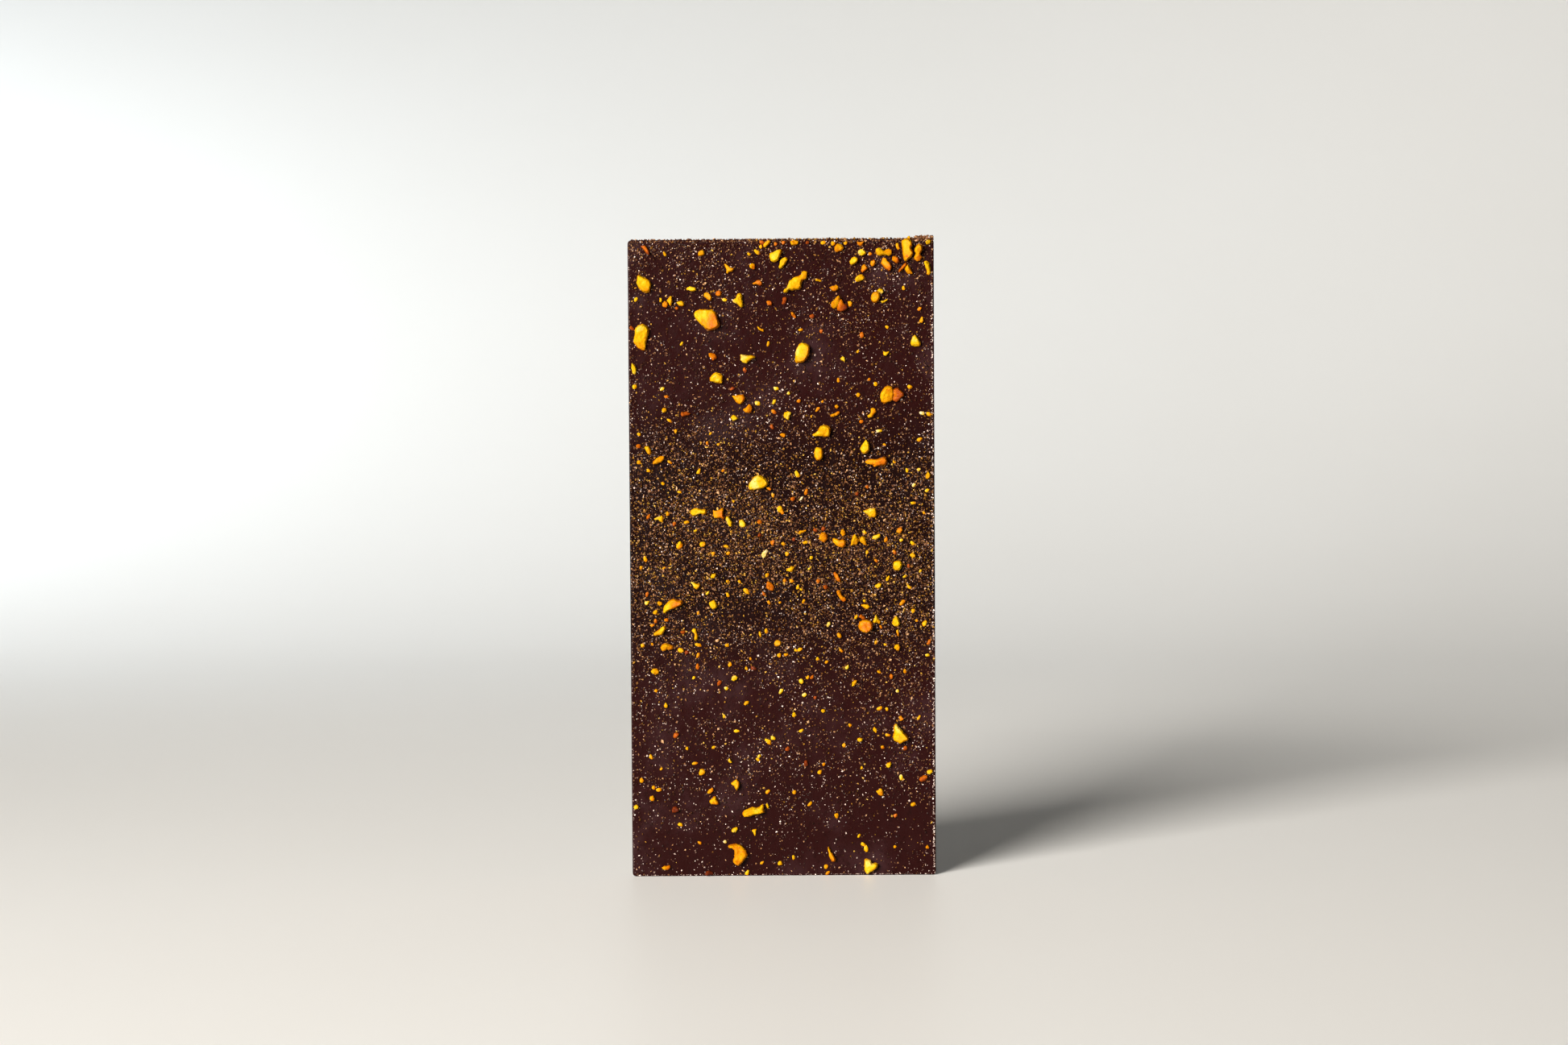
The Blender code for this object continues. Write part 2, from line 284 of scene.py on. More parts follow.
class Wiring:
    """A material's or a group's nodes, added left to right and joined by name."""

    def __init__(self, tree):
        self.tree = tree
        self.column = 0

    def feed(self, node, **inputs):
        """Gives inputs, named or numbered as _0 and up, a number, a colour or another node's output."""
        for name, value in inputs.items():
            socket = node.inputs[int(name[1:])] if name[0] == "_" else node.inputs[name.replace("_", " ")]
            if isinstance(value, bpy.types.NodeSocket):
                self.tree.links.new(value, socket)
            else:
                socket.default_value = value

    def add(self, kind, **inputs):
        node = self.tree.nodes.new(kind)
        self.column += 1
        node.location = (self.column * 180, -(self.column % 4) * 160)
        self.feed(node, **inputs)
        return node

    def add_group(self, group, **inputs):
        """A use of a node group, by its named outputs."""
        node = self.add("ShaderNodeGroup")
        node.node_tree = group
        self.feed(node, **inputs)
        return node.outputs

    def stored(self, name):
        """What the mesh's points carry under that name."""
        node = self.add("ShaderNodeAttribute")
        node.attribute_name = name
        return node.outputs["Fac"]

    def maths(self, operation, a, b=0.0, c=0.0):
        node = self.add("ShaderNodeMath", _0=a, _1=b, _2=c)
        node.operation = operation
        return node.outputs[0]

    def mix(self, share, a, b):
        """The colour a where share is 0, over to b where it is 1."""
        node = self.add("ShaderNodeMix")
        node.data_type = "RGBA"
        self.feed(node, _0=share, _6=a, _7=b)
        return node.outputs[2]

    def step(self, value, low, high, to_low=0.0, to_high=1.0):
        """value eased from to_low at low to to_high at high."""
        node = self.add("ShaderNodeMapRange", _0=value, _1=low, _2=high, _3=to_low, _4=to_high)
        node.interpolation_type = "SMOOTHSTEP"
        return node.outputs[0]

    def ramp(self, value, stops):
        node = self.add("ShaderNodeValToRGB", _0=value)
        ramp = node.color_ramp
        while len(ramp.elements) < len(stops):
            ramp.elements.new(1.0)
        for element, (place, colour) in zip(ramp.elements, stops):
            element.position = place
            element.color = (*colour, 1.0)
        return node.outputs[0]

    def noise(self, vector, size, detail=3.0, roughness=0.55):
        """Noise whose lumps are about size across, in metres, as a number or another node's output."""
        if isinstance(size, bpy.types.NodeSocket):
            scale = self.maths("DIVIDE", NOISE_LUMP, size)
        else:
            scale = NOISE_LUMP / size
        node = self.add("ShaderNodeTexNoise", Vector=vector, Scale=scale, Detail=detail, Roughness=roughness)
        return node.outputs[0]


def new_group(name, inputs, outputs):
    """(a shader node group with its named sockets, its wiring, its input node, its output node)."""
    group = bpy.data.node_groups.new(name, "ShaderNodeTree")
    for socket_name, kind, start in inputs:
        socket = group.interface.new_socket(socket_name, in_out="INPUT", socket_type=kind)
        if start is not None:
            socket.default_value = start
    for socket_name, kind in outputs:
        group.interface.new_socket(socket_name, in_out="OUTPUT", socket_type=kind)
    wiring = Wiring(group)
    return group, wiring, group.nodes.new("NodeGroupInput"), group.nodes.new("NodeGroupOutput")


VALUE, COLOUR, VECTOR = "NodeSocketFloat", "NodeSocketColor", "NodeSocketVector"

# Soft patches of one colour in another, with a mask that roughness can follow.
patches, wiring, given, out = new_group(
    "Patches",
    (("Place", VECTOR, None), ("Size", VALUE, 0.01), ("Cover", VALUE, 0.5), ("Edge", VALUE, 0.1),
     ("Colour", COLOUR, (0, 0, 0, 1)), ("Patch Colour", COLOUR, (1, 1, 1, 1))),
    (("Colour", COLOUR), ("Mask", VALUE)),
)
patch_noise = wiring.noise(given.outputs["Place"], given.outputs["Size"], detail=4.0, roughness=0.6)
patch_turn = wiring.maths("SUBTRACT", 1.0, given.outputs["Cover"])
patch_low = wiring.maths("SUBTRACT", patch_turn, given.outputs["Edge"])
patch_high = wiring.maths("ADD", patch_turn, given.outputs["Edge"])
patch_mask = wiring.step(patch_noise, patch_low, patch_high)
patch_colour = wiring.mix(patch_mask, given.outputs["Colour"], given.outputs["Patch Colour"])
wiring.feed(out, Colour=patch_colour, Mask=patch_mask)

# Two sizes of noise in one height, for a Bump node.
grain, wiring, given, out = new_group(
    "Grain",
    (("Place", VECTOR, None), ("Coarse Size", VALUE, 0.002), ("Fine Size", VALUE, 0.0005),
     ("Fine Share", VALUE, 0.4)),
    (("Height", VALUE),),
)
coarse_noise = wiring.noise(given.outputs["Place"], given.outputs["Coarse Size"], roughness=0.5)
fine_noise = wiring.noise(given.outputs["Place"], given.outputs["Fine Size"], detail=2.0, roughness=0.5)
fine_part = wiring.maths("MULTIPLY", fine_noise, given.outputs["Fine Share"])
wiring.feed(out, Height=wiring.maths("ADD", coarse_noise, fine_part))


def new_material(name):
    """(material, its wiring, its Principled BSDF, its object coordinates)."""
    material = bpy.data.materials.new(name)
    material.use_nodes = True
    wiring = Wiring(material.node_tree)
    place = wiring.add("ShaderNodeTexCoord").outputs["Object"]
    return material, wiring, material.node_tree.nodes["Principled BSDF"], place


def add_bump(wiring, shader, height, distance):
    bump = wiring.add("ShaderNodeBump", Height=height, Distance=distance)
    wiring.feed(shader, Normal=bump.outputs[0])


# The hairlines are where the tiles' grooves on the far side show through as the chocolate shrank:
# (x or z that the line lies on, how wide, where it starts and ends along the other axis).
UPRIGHT_HAIRLINES = (
    (-3.75 * MM, 0.2 * MM, 126.5 * MM, 146.0 * MM),
    (-7.05 * MM, 0.13 * MM, 128.6 * MM, 144.0 * MM),
    (0.45 * MM, 0.13 * MM, 131.5 * MM, 138.5 * MM),
)
LEVEL_HAIRLINES = (
    (129.6 * MM, 0.16 * MM, -34.0 * MM, -19.0 * MM),
    (129.3 * MM, 0.13 * MM, 1.8 * MM, 20.8 * MM),
    (124.4 * MM, 0.2 * MM, -31.4 * MM, -4.6 * MM),
    (124.2 * MM, 0.16 * MM, -1.2 * MM, 21.5 * MM),
)
HAIRLINE_FADE = 2 * MM
# How much a hairline darkens the chocolate, and how far it dips in the height that the bump reads.
HAIRLINE_SHARE = 0.4
HAIRLINE_DIP = 0.1

hairline, wiring, given, out = new_group(
    "Hairline",
    (("Across", VALUE, 0.0), ("Along", VALUE, 0.0), ("Line", VALUE, 0.0), ("Width", VALUE, 0.0001),
     ("From", VALUE, 0.0), ("To", VALUE, 0.01)),
    (("Mask", VALUE),),
)
from_line = wiring.maths("SUBTRACT", given.outputs["Across"], given.outputs["Line"])
on_line = wiring.step(wiring.maths("ABSOLUTE", from_line), 0.0, given.outputs["Width"], 1.0, 0.0)
past_start = wiring.maths("SUBTRACT", given.outputs["Along"], given.outputs["From"])
before_end = wiring.maths("SUBTRACT", given.outputs["To"], given.outputs["Along"])
within = wiring.step(wiring.maths("MINIMUM", past_start, before_end), 0.0, HAIRLINE_FADE)
wiring.feed(out, Mask=wiring.maths("MULTIPLY", on_line, within))

CHOCOLATE_COLOUR = (0.0115, 0.0015, 0.0012, 1)
CHOCOLATE_PALE = (0.021, 0.0064, 0.0068, 1)
CHOCOLATE_DEEP = (0.007, 0.001, 0.0007, 1)
CHOCOLATE_SHADED = (0.0032, 0.0004, 0.0002, 1)
MOULDED_COLOUR = (0.026, 0.0085, 0.0062, 1)
SPECK_SHARE = 0.6
# How far behind the strewn face its specks and hairlines fade out.
FACE_FADE = (0.5 * MM, 1.0 * MM)
# Heights up the bar between which the shade under the thickest dust comes in and goes out.
BAND_STARTS = (44 * MM, 72 * MM)
BAND_ENDS = (100 * MM, 124 * MM)
BAND_SHADE = 0.85

chocolate, wiring, shader, place = new_material("strewn_dark_chocolate")
axes = wiring.add("ShaderNodeSeparateXYZ", Vector=place).outputs
# Pale patches: partly bloom on the chocolate, partly painted sheen standing in for soft light reflected off
# the face.
bloom_and_sheen = wiring.add_group(
    patches, Place=place, Size=9 * MM, Cover=0.38, Edge=0.14,
    Colour=CHOCOLATE_COLOUR, Patch_Colour=CHOCOLATE_PALE,
)
specks = wiring.add_group(
    patches, Place=place, Size=0.7 * MM, Cover=0.4, Edge=0.08,
    Colour=bloom_and_sheen["Colour"], Patch_Colour=CHOCOLATE_DEEP,
)
lines = 0.0
for axis, along, rows in (("X", "Z", UPRIGHT_HAIRLINES), ("Z", "X", LEVEL_HAIRLINES)):
    for line, width, start, end in rows:
        mask = wiring.add_group(
            hairline, Across=axes[axis], Along=axes[along], Line=line, Width=width, From=start, To=end
        )["Mask"]
        lines = wiring.maths("MAXIMUM", lines, mask)
on_face = wiring.step(axes["Y"], FACE_Y + FACE_FADE[0], FACE_Y + FACE_FADE[1], 1.0, 0.0)
lines = wiring.maths("MULTIPLY", lines, on_face)
speckled = wiring.maths("MULTIPLY", on_face, SPECK_SHARE)
coloured = wiring.mix(speckled, bloom_and_sheen["Colour"], specks["Colour"])
coloured = wiring.mix(wiring.maths("MULTIPLY", lines, HAIRLINE_SHARE), coloured, CHOCOLATE_DEEP)
# Under the thickest dust the chocolate lies in shade between the crumbs.
band_low = wiring.step(axes["Z"], BAND_STARTS[0], BAND_STARTS[1], 0.0, BAND_SHADE)
band_high = wiring.step(axes["Z"], BAND_ENDS[0], BAND_ENDS[1], 1.0, 0.0)
coloured = wiring.mix(wiring.maths("MULTIPLY", band_low, band_high), coloured, CHOCOLATE_SHADED)
face_grain = wiring.add_group(grain, Place=place, Coarse_Size=1.1 * MM, Fine_Size=0.3 * MM, Fine_Share=0.55)
dips = wiring.maths("MULTIPLY", lines, HAIRLINE_DIP)
add_bump(wiring, shader, wiring.maths("SUBTRACT", face_grain["Height"], dips), 0.06 * MM)
face_roughness = wiring.step(bloom_and_sheen["Mask"], 0.0, 1.0, 0.3, 0.42)
wiring.feed(shader, Base_Color=coloured, Roughness=face_roughness, Specular_IOR_Level=0.06)

moulded, wiring, shader, place = new_material("moulded_dark_chocolate")
cast = wiring.add_group(
    patches, Place=place, Size=16 * MM, Cover=0.5, Edge=0.25,
    Colour=MOULDED_COLOUR, Patch_Colour=CHOCOLATE_PALE,
)
cast_grain = wiring.add_group(grain, Place=place, Coarse_Size=6 * MM, Fine_Size=0.8 * MM, Fine_Share=0.12)
add_bump(wiring, shader, cast_grain["Height"], 0.1 * MM)
cast_roughness = wiring.step(cast["Mask"], 0.0, 1.0, 0.26, 0.34)
wiring.feed(shader, Base_Color=cast["Colour"], Roughness=cast_roughness, Specular_IOR_Level=0.45)

bar.data.materials.clear()
bar.data.materials.append(chocolate)
bar.data.materials.append(moulded)
for face in bar.data.polygons:
    face.material_index = 0 if face.center.y < FACE_Y + MOULDED_FROM else 1
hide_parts("honeycomb_chocolate_bar")
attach(bar, "root")


# The honeycomb pieces
# Boiled sugar foamed with soda, set hard and crushed: sheets, shards and melted lumps, yellow where the
# bubbles were fine and amber where the sugar caught. They were strewn while the chocolate was soft, lie on
# their broad sides and have sunk in a little.

# From the top of the bar down: how dark the sugar is at the piece's lit upper left and at its lower right,
# where painted shade darkens it, from 0 for pale over 0.3 for yellow and 0.6 for orange to 1 for burnt, how
# far it stands out of the face, and its outline (across from the bar's left edge, up from its foot), all in
# millimetres.
LUMPS = (
    (0.38, 0.5, 2.4, ((68.5, 159.6), (69.2, 160.1), (70.2, 160.1), (71.0, 159.4), (71.2, 158.5),
     (70.7, 157.8), (71.0, 157.1), (71.4, 156.3), (70.9, 155.3), (70.2, 154.8), (69.6, 154.2),
     (69.1, 154.4), (68.8, 155.5), (68.6, 156.6), (68.6, 157.7), (68.4, 158.8))),
    (0.42, 0.55, 2.2, ((71.6, 157.7), (72.2, 158.4), (72.9, 158.8), (73.6, 158.4), (73.8, 157.4),
     (73.2, 156.4), (73.1, 156.0), (73.6, 155.3), (73.1, 154.4), (72.2, 154.1), (71.5, 154.8),
     (71.5, 155.5), (72.0, 156.1), (71.6, 157.0))),
    (0.5, 0.72, 1.9, ((63.8, 155.5), (64.5, 155.2), (64.9, 154.5), (65.7, 153.9), (66.1, 153.0),
     (65.9, 152.0), (65.3, 151.7), (64.5, 152.3), (63.9, 153.1), (63.2, 153.9), (63.5, 154.8))),
    (0.55, 0.76, 1.9, ((66.1, 155.6), (67.0, 155.7), (67.7, 155.2), (67.9, 154.2), (67.1, 153.7),
     (66.7, 154.1), (66.1, 154.6))),
    (0.3, 0.42, 1.8, ((61.8, 156.9), (62.1, 157.6), (62.9, 157.8), (63.6, 157.4), (64.1, 156.9),
     (64.6, 157.3), (65.3, 157.6), (66.0, 157.1), (66.1, 156.2), (65.4, 155.6), (64.6, 155.9),
     (63.8, 155.9), (62.9, 155.7), (62.2, 156.0))),
    (0.62, 0.72, 1.7, ((69.6, 154.1), (69.9, 153.5), (69.1, 152.7), (68.4, 152.0), (67.5, 151.4),
     (67.8, 152.3), (68.4, 153.1), (69.1, 153.9))),
    (0.38, 0.5, 1.9, ((69.9, 153.7), (70.4, 153.0), (71.0, 151.9), (71.4, 151.1), (70.2, 151.0),
     (69.5, 151.7), (69.2, 152.4), (69.5, 153.1))),
    (0.3, 0.38, 1.9, ((35.4, 156.5), (36.4, 156.9), (37.5, 157.4), (38.6, 157.5), (38.6, 156.9),
     (38.1, 155.7), (37.5, 154.6), (36.5, 154.2), (35.7, 154.6), (35.4, 155.6))),
    (0.28, 0.5, 2.0, ((2.3, 151.2), (2.8, 151.3), (3.6, 151.1), (4.6, 150.5), (5.6, 150.0), (6.0, 149.1),
     (5.8, 148.1), (5.5, 147.0), (4.7, 146.7), (3.9, 147.0), (3.2, 147.5), (2.6, 148.2), (2.2, 149.5))),
    (0.3, 0.42, 1.9, ((38.8, 146.7), (38.9, 147.4), (39.6, 147.8), (40.0, 148.8), (40.3, 149.6),
     (41.1, 150.2), (42.0, 150.7), (42.9, 151.0), (43.6, 151.4), (43.5, 152.0), (44.3, 152.2),
     (45.0, 152.0), (45.1, 151.3), (44.7, 150.2), (43.8, 149.8), (43.4, 149.1), (43.4, 148.0),
     (42.8, 147.4), (41.7, 147.4), (40.9, 147.1), (40.2, 147.3), (39.6, 146.6))),
    (0.42, 0.5, 1.7, ((50.7, 143.8), (51.0, 144.5), (51.7, 144.9), (52.1, 145.6), (52.7, 146.0),
     (53.2, 145.5), (53.0, 144.4), (52.7, 143.6), (52.2, 142.9), (51.4, 142.6), (50.9, 143.0))),
    (0.66, 0.84, 1.5, ((52.6, 144.8), (53.4, 145.2), (53.8, 144.6), (54.0, 143.9), (54.7, 143.7),
     (55.0, 142.8), (54.3, 142.0), (53.2, 141.7), (52.4, 142.1), (52.2, 143.0), (52.4, 143.9))),
    (0.42, 0.62, 2.0, ((60.7, 145.9), (61.4, 146.7), (62.2, 147.0), (62.9, 146.6), (63.1, 145.7),
     (62.7, 144.6), (62.0, 144.0), (61.1, 144.2), (60.7, 144.9))),
    (0.3, 0.6, 2.3, ((16.4, 141.6), (16.9, 142.4), (17.9, 142.8), (19.0, 142.7), (20.1, 142.6),
     (21.2, 142.7), (22.1, 141.9), (22.5, 140.7), (23.0, 139.2), (23.1, 138.6), (22.4, 137.9),
     (21.2, 137.4), (20.3, 137.2), (19.4, 137.7), (18.5, 138.5), (17.5, 139.5), (17.0, 140.2),
     (16.5, 140.9))),
    (0.28, 0.38, 1.9, ((2.0, 138.4), (2.6, 139.0), (3.6, 139.2), (4.7, 138.8), (5.3, 137.9), (5.3, 137.0),
     (4.9, 136.0), (4.6, 134.7), (4.4, 133.4), (4.2, 132.4), (3.5, 132.4), (2.4, 132.9), (1.8, 133.8),
     (1.2, 134.6), (1.4, 135.4), (1.6, 136.7), (1.7, 137.7))),
    (0.26, 0.3, 1.8, ((70.7, 134.7), (71.0, 135.6), (71.6, 136.1), (72.1, 135.7), (72.7, 134.9),
     (73.2, 133.8), (72.8, 133.1), (71.7, 133.1), (70.8, 133.2), (70.6, 133.9))),
    (0.24, 0.58, 2.5, ((41.7, 131.7), (42.1, 132.8), (42.7, 133.9), (43.5, 134.3), (44.3, 134.1),
     (45.5, 133.5), (45.4, 132.5), (45.3, 131.3), (44.7, 130.3), (43.9, 129.3), (42.9, 129.0),
     (42.0, 129.1), (41.6, 129.7), (41.8, 130.6))),
    (0.26, 0.3, 1.7, ((27.9, 131.4), (28.7, 131.3), (29.9, 131.1), (31.0, 131.2), (31.9, 130.7),
     (31.0, 130.2), (30.1, 129.6), (29.4, 129.0), (28.6, 129.3), (28.0, 129.9), (28.1, 130.6))),
    (0.26, 0.32, 1.8, ((21.0, 126.4), (21.9, 127.0), (22.9, 126.7), (23.7, 126.1), (23.7, 125.3),
     (23.5, 124.2), (22.4, 124.1), (21.2, 124.5), (20.3, 124.7), (20.4, 125.7))),
    (0.36, 0.62, 2.1, ((62.9, 121.4), (63.5, 122.2), (64.1, 123.1), (65.0, 123.4), (65.9, 123.2),
     (66.3, 122.6), (66.4, 121.0), (66.1, 119.6), (64.9, 119.1), (63.9, 118.7), (63.1, 119.2),
     (62.9, 120.6))),
    (0.66, 0.82, 1.7, ((65.9, 122.4), (66.8, 122.8), (67.4, 122.9), (67.9, 122.5), (68.4, 122.0),
     (68.9, 121.4), (69.1, 120.9), (68.4, 120.3), (67.8, 119.7), (67.0, 119.2), (66.0, 119.5),
     (65.8, 120.8))),
    (0.48, 0.52, 1.7, ((25.8, 121.1), (26.8, 121.1), (27.9, 121.4), (28.9, 121.4), (29.3, 120.6),
     (29.0, 119.8), (28.2, 118.9), (27.5, 118.8), (26.8, 119.5), (26.3, 120.2))),
    (0.5, 0.56, 1.7, ((28.5, 117.5), (29.2, 117.9), (30.1, 119.0), (30.7, 118.8), (31.0, 117.8),
     (30.7, 116.8), (30.0, 116.6), (29.0, 116.8))),
    (0.28, 0.46, 2.3, ((45.7, 111.1), (46.7, 111.6), (47.4, 112.4), (47.9, 113.4), (48.9, 113.7),
     (50.0, 113.5), (50.6, 112.8), (50.5, 111.7), (50.2, 110.7), (49.5, 110.5), (48.5, 110.8),
     (47.2, 110.8), (46.3, 110.7))),
    (0.28, 0.34, 2.0, ((59.3, 110.0), (59.9, 109.3), (60.3, 108.4), (60.2, 107.2), (59.5, 106.4),
     (58.8, 106.3), (58.2, 106.7), (57.8, 107.5), (58.2, 108.5), (58.9, 109.3))),
    (0.32, 0.54, 2.0, ((46.4, 107.4), (46.7, 108.0), (47.5, 108.1), (48.4, 107.7), (48.6, 106.7),
     (48.5, 105.4), (47.9, 104.7), (47.0, 104.6), (46.5, 105.5), (46.3, 106.4))),
    (0.42, 0.64, 2.0, ((58.9, 104.3), (59.5, 104.9), (60.6, 105.0), (62.0, 104.9), (62.9, 105.3),
     (63.8, 105.7), (64.6, 105.4), (64.7, 104.6), (64.6, 103.6), (63.4, 103.3), (62.1, 103.2),
     (61.4, 102.9), (61.0, 103.4), (60.0, 103.6), (59.3, 103.9))),
    (0.46, 0.56, 1.6, ((5.7, 104.0), (6.0, 104.7), (6.8, 105.5), (7.9, 106.0), (8.9, 106.1), (8.9, 105.3),
     (8.2, 104.6), (7.1, 104.1), (6.1, 103.9))),
    (0.22, 0.28, 2.2, ((30.7, 99.9), (31.4, 100.8), (32.3, 101.3), (33.3, 101.0), (34.3, 100.3),
     (34.9, 99.5), (34.8, 98.6), (34.0, 98.1), (33.1, 97.7), (32.1, 97.5), (31.0, 97.3), (30.0, 97.5),
     (29.7, 98.2), (30.1, 99.3))),
    (0.26, 0.32, 1.8, ((15.1, 92.0), (15.6, 92.7), (16.8, 93.1), (17.8, 92.7), (18.5, 92.6), (19.2, 92.7),
     (19.5, 92.1), (19.2, 91.4), (18.5, 91.3), (17.9, 91.6), (17.1, 91.3), (16.0, 91.0), (15.3, 91.3))),
    (0.44, 0.58, 1.9, ((20.8, 92.5), (21.8, 92.3), (22.6, 92.6), (23.2, 93.1), (23.7, 92.9), (23.6, 92.0),
     (23.5, 91.1), (23.9, 90.4), (23.6, 90.0), (22.8, 90.4), (21.8, 90.3), (21.1, 90.5), (20.9, 91.5))),
    (0.24, 0.42, 1.9, ((58.4, 92.0), (59.7, 92.4), (60.3, 92.7), (61.7, 92.8), (62.0, 92.0), (62.0, 90.8),
     (61.6, 90.3), (60.4, 90.3), (59.7, 91.0), (59.0, 91.5))),
    (0.54, 0.64, 1.7, ((47.3, 85.0), (47.5, 86.0), (48.0, 86.7), (48.9, 86.8), (49.6, 86.1), (49.6, 85.0),
     (48.9, 84.1), (48.0, 84.4))),
    (0.44, 0.46, 1.9, ((50.7, 85.2), (51.4, 85.3), (52.1, 84.9), (52.7, 84.7), (53.5, 85.0), (54.2, 84.4),
     (54.1, 83.3), (53.5, 82.7), (52.5, 82.9), (51.5, 83.6), (50.9, 84.3))),
    (0.3, 0.38, 1.8, ((55.3, 83.2), (55.5, 84.4), (55.8, 85.6), (56.5, 86.4), (57.1, 85.6), (57.5, 84.6),
     (57.0, 83.6), (56.2, 83.4))),
    (0.34, 0.5, 1.5, ((57.5, 85.0), (58.2, 85.7), (59.1, 85.3), (59.2, 84.5), (59.6, 83.3), (58.7, 83.3),
     (58.2, 83.9), (57.6, 84.3))),
    (0.3, 0.36, 1.9, ((66.0, 78.3), (66.1, 79.1), (67.0, 79.5), (67.9, 79.4), (68.4, 78.6), (68.1, 77.7),
     (67.4, 76.9), (66.5, 77.0), (66.0, 77.5))),
    (0.34, 0.6, 2.1, ((8.1, 66.6), (8.2, 67.7), (8.6, 68.5), (9.3, 69.3), (10.1, 70.0), (11.1, 70.2),
     (12.1, 69.9), (13.1, 69.8), (13.3, 69.1), (12.6, 68.4), (11.5, 68.0), (10.4, 67.5), (9.4, 67.2),
     (8.7, 66.5))),
    (0.26, 0.34, 1.7, ((19.7, 69.3), (20.3, 69.5), (21.1, 70.0), (21.5, 69.3), (21.9, 68.6), (21.7, 67.8),
     (20.8, 67.4), (20.1, 67.9), (19.8, 68.6))),
    (0.28, 0.36, 1.8, ((65.6, 63.6), (65.9, 64.7), (66.7, 65.7), (67.4, 64.9), (67.7, 63.6), (67.2, 62.8),
     (66.1, 63.0))),
    (0.5, 0.54, 2.2, ((57.2, 63.1), (57.4, 64.1), (58.2, 64.6), (59.3, 64.7), (60.3, 64.4), (60.9, 63.6),
     (60.8, 62.5), (60.2, 61.7), (59.2, 61.2), (58.2, 61.5), (57.4, 62.1))),
    (0.28, 0.34, 1.6, ((60.8, 64.1), (61.1, 64.7), (61.5, 65.9), (62.0, 65.6), (62.4, 64.7), (62.9, 64.1),
     (62.5, 63.4), (61.8, 63.9), (61.2, 63.7))),
    (0.32, 0.38, 1.7, ((5.7, 61.1), (6.1, 61.8), (7.1, 62.4), (8.2, 63.4), (8.8, 63.4), (9.0, 62.8),
     (8.6, 62.0), (7.9, 61.1), (6.9, 60.9), (6.1, 60.8))),
    (0.36, 0.56, 1.8, ((7.4, 57.9), (7.9, 58.8), (8.9, 59.1), (9.7, 58.7), (10.7, 58.4), (10.8, 57.6),
     (10.0, 57.2), (9.0, 57.4), (8.5, 57.0), (7.8, 57.0))),
    (0.26, 0.5, 2.4, ((65.8, 37.2), (66.0, 38.1), (66.6, 38.5), (67.2, 37.8), (67.9, 37.0), (68.8, 36.0),
     (69.9, 34.7), (69.6, 34.1), (68.6, 33.8), (67.7, 33.2), (66.8, 33.6), (66.0, 34.1), (65.7, 35.0),
     (66.0, 36.0))),
    (0.38, 0.42, 1.8, ((24.9, 23.6), (25.7, 24.2), (26.4, 24.6), (27.1, 23.9), (27.2, 23.0), (26.4, 21.6),
     (25.7, 22.8), (25.1, 23.2))),
    (0.34, 0.56, 1.7, ((19.4, 19.0), (20.0, 19.6), (20.6, 20.2), (21.1, 20.2), (21.7, 19.2), (22.0, 18.2),
     (21.0, 18.1), (19.9, 18.3))),
    (0.3, 0.36, 2.3, ((27.7, 15.7), (28.1, 16.6), (29.3, 17.1), (30.4, 17.5), (31.4, 17.3), (32.2, 17.5),
     (32.6, 18.1), (33.1, 18.4), (33.3, 17.9), (33.2, 17.0), (33.5, 16.1), (32.4, 15.8), (30.7, 15.6),
     (29.0, 15.0), (28.1, 15.0))),
    (0.4, 0.5, 2.3, ((24.0, 7.8), (24.7, 8.1), (26.4, 8.3), (27.5, 7.9), (28.3, 7.2), (28.9, 6.3),
     (29.2, 5.4), (28.6, 4.5), (27.8, 3.5), (26.8, 2.5), (26.1, 2.7), (25.4, 3.4), (25.3, 4.1),
     (25.7, 4.9), (25.8, 6.0), (25.7, 6.8), (25.0, 7.3), (24.2, 7.4))),
    (0.36, 0.62, 1.7, ((49.3, 7.4), (49.7, 7.1), (50.0, 6.1), (50.7, 5.2), (51.3, 4.1), (51.1, 3.4),
     (50.3, 3.5), (49.8, 4.3), (49.5, 5.5), (49.2, 6.6))),
    (0.26, 0.28, 2.0, ((58.4, 4.1), (59.5, 4.2), (60.2, 3.9), (60.4, 3.0), (61.3, 3.3), (62.0, 3.0),
     (61.7, 2.0), (60.9, 1.3), (60.0, 0.9), (59.1, 0.2), (58.5, 0.9), (58.4, 2.0))),
)
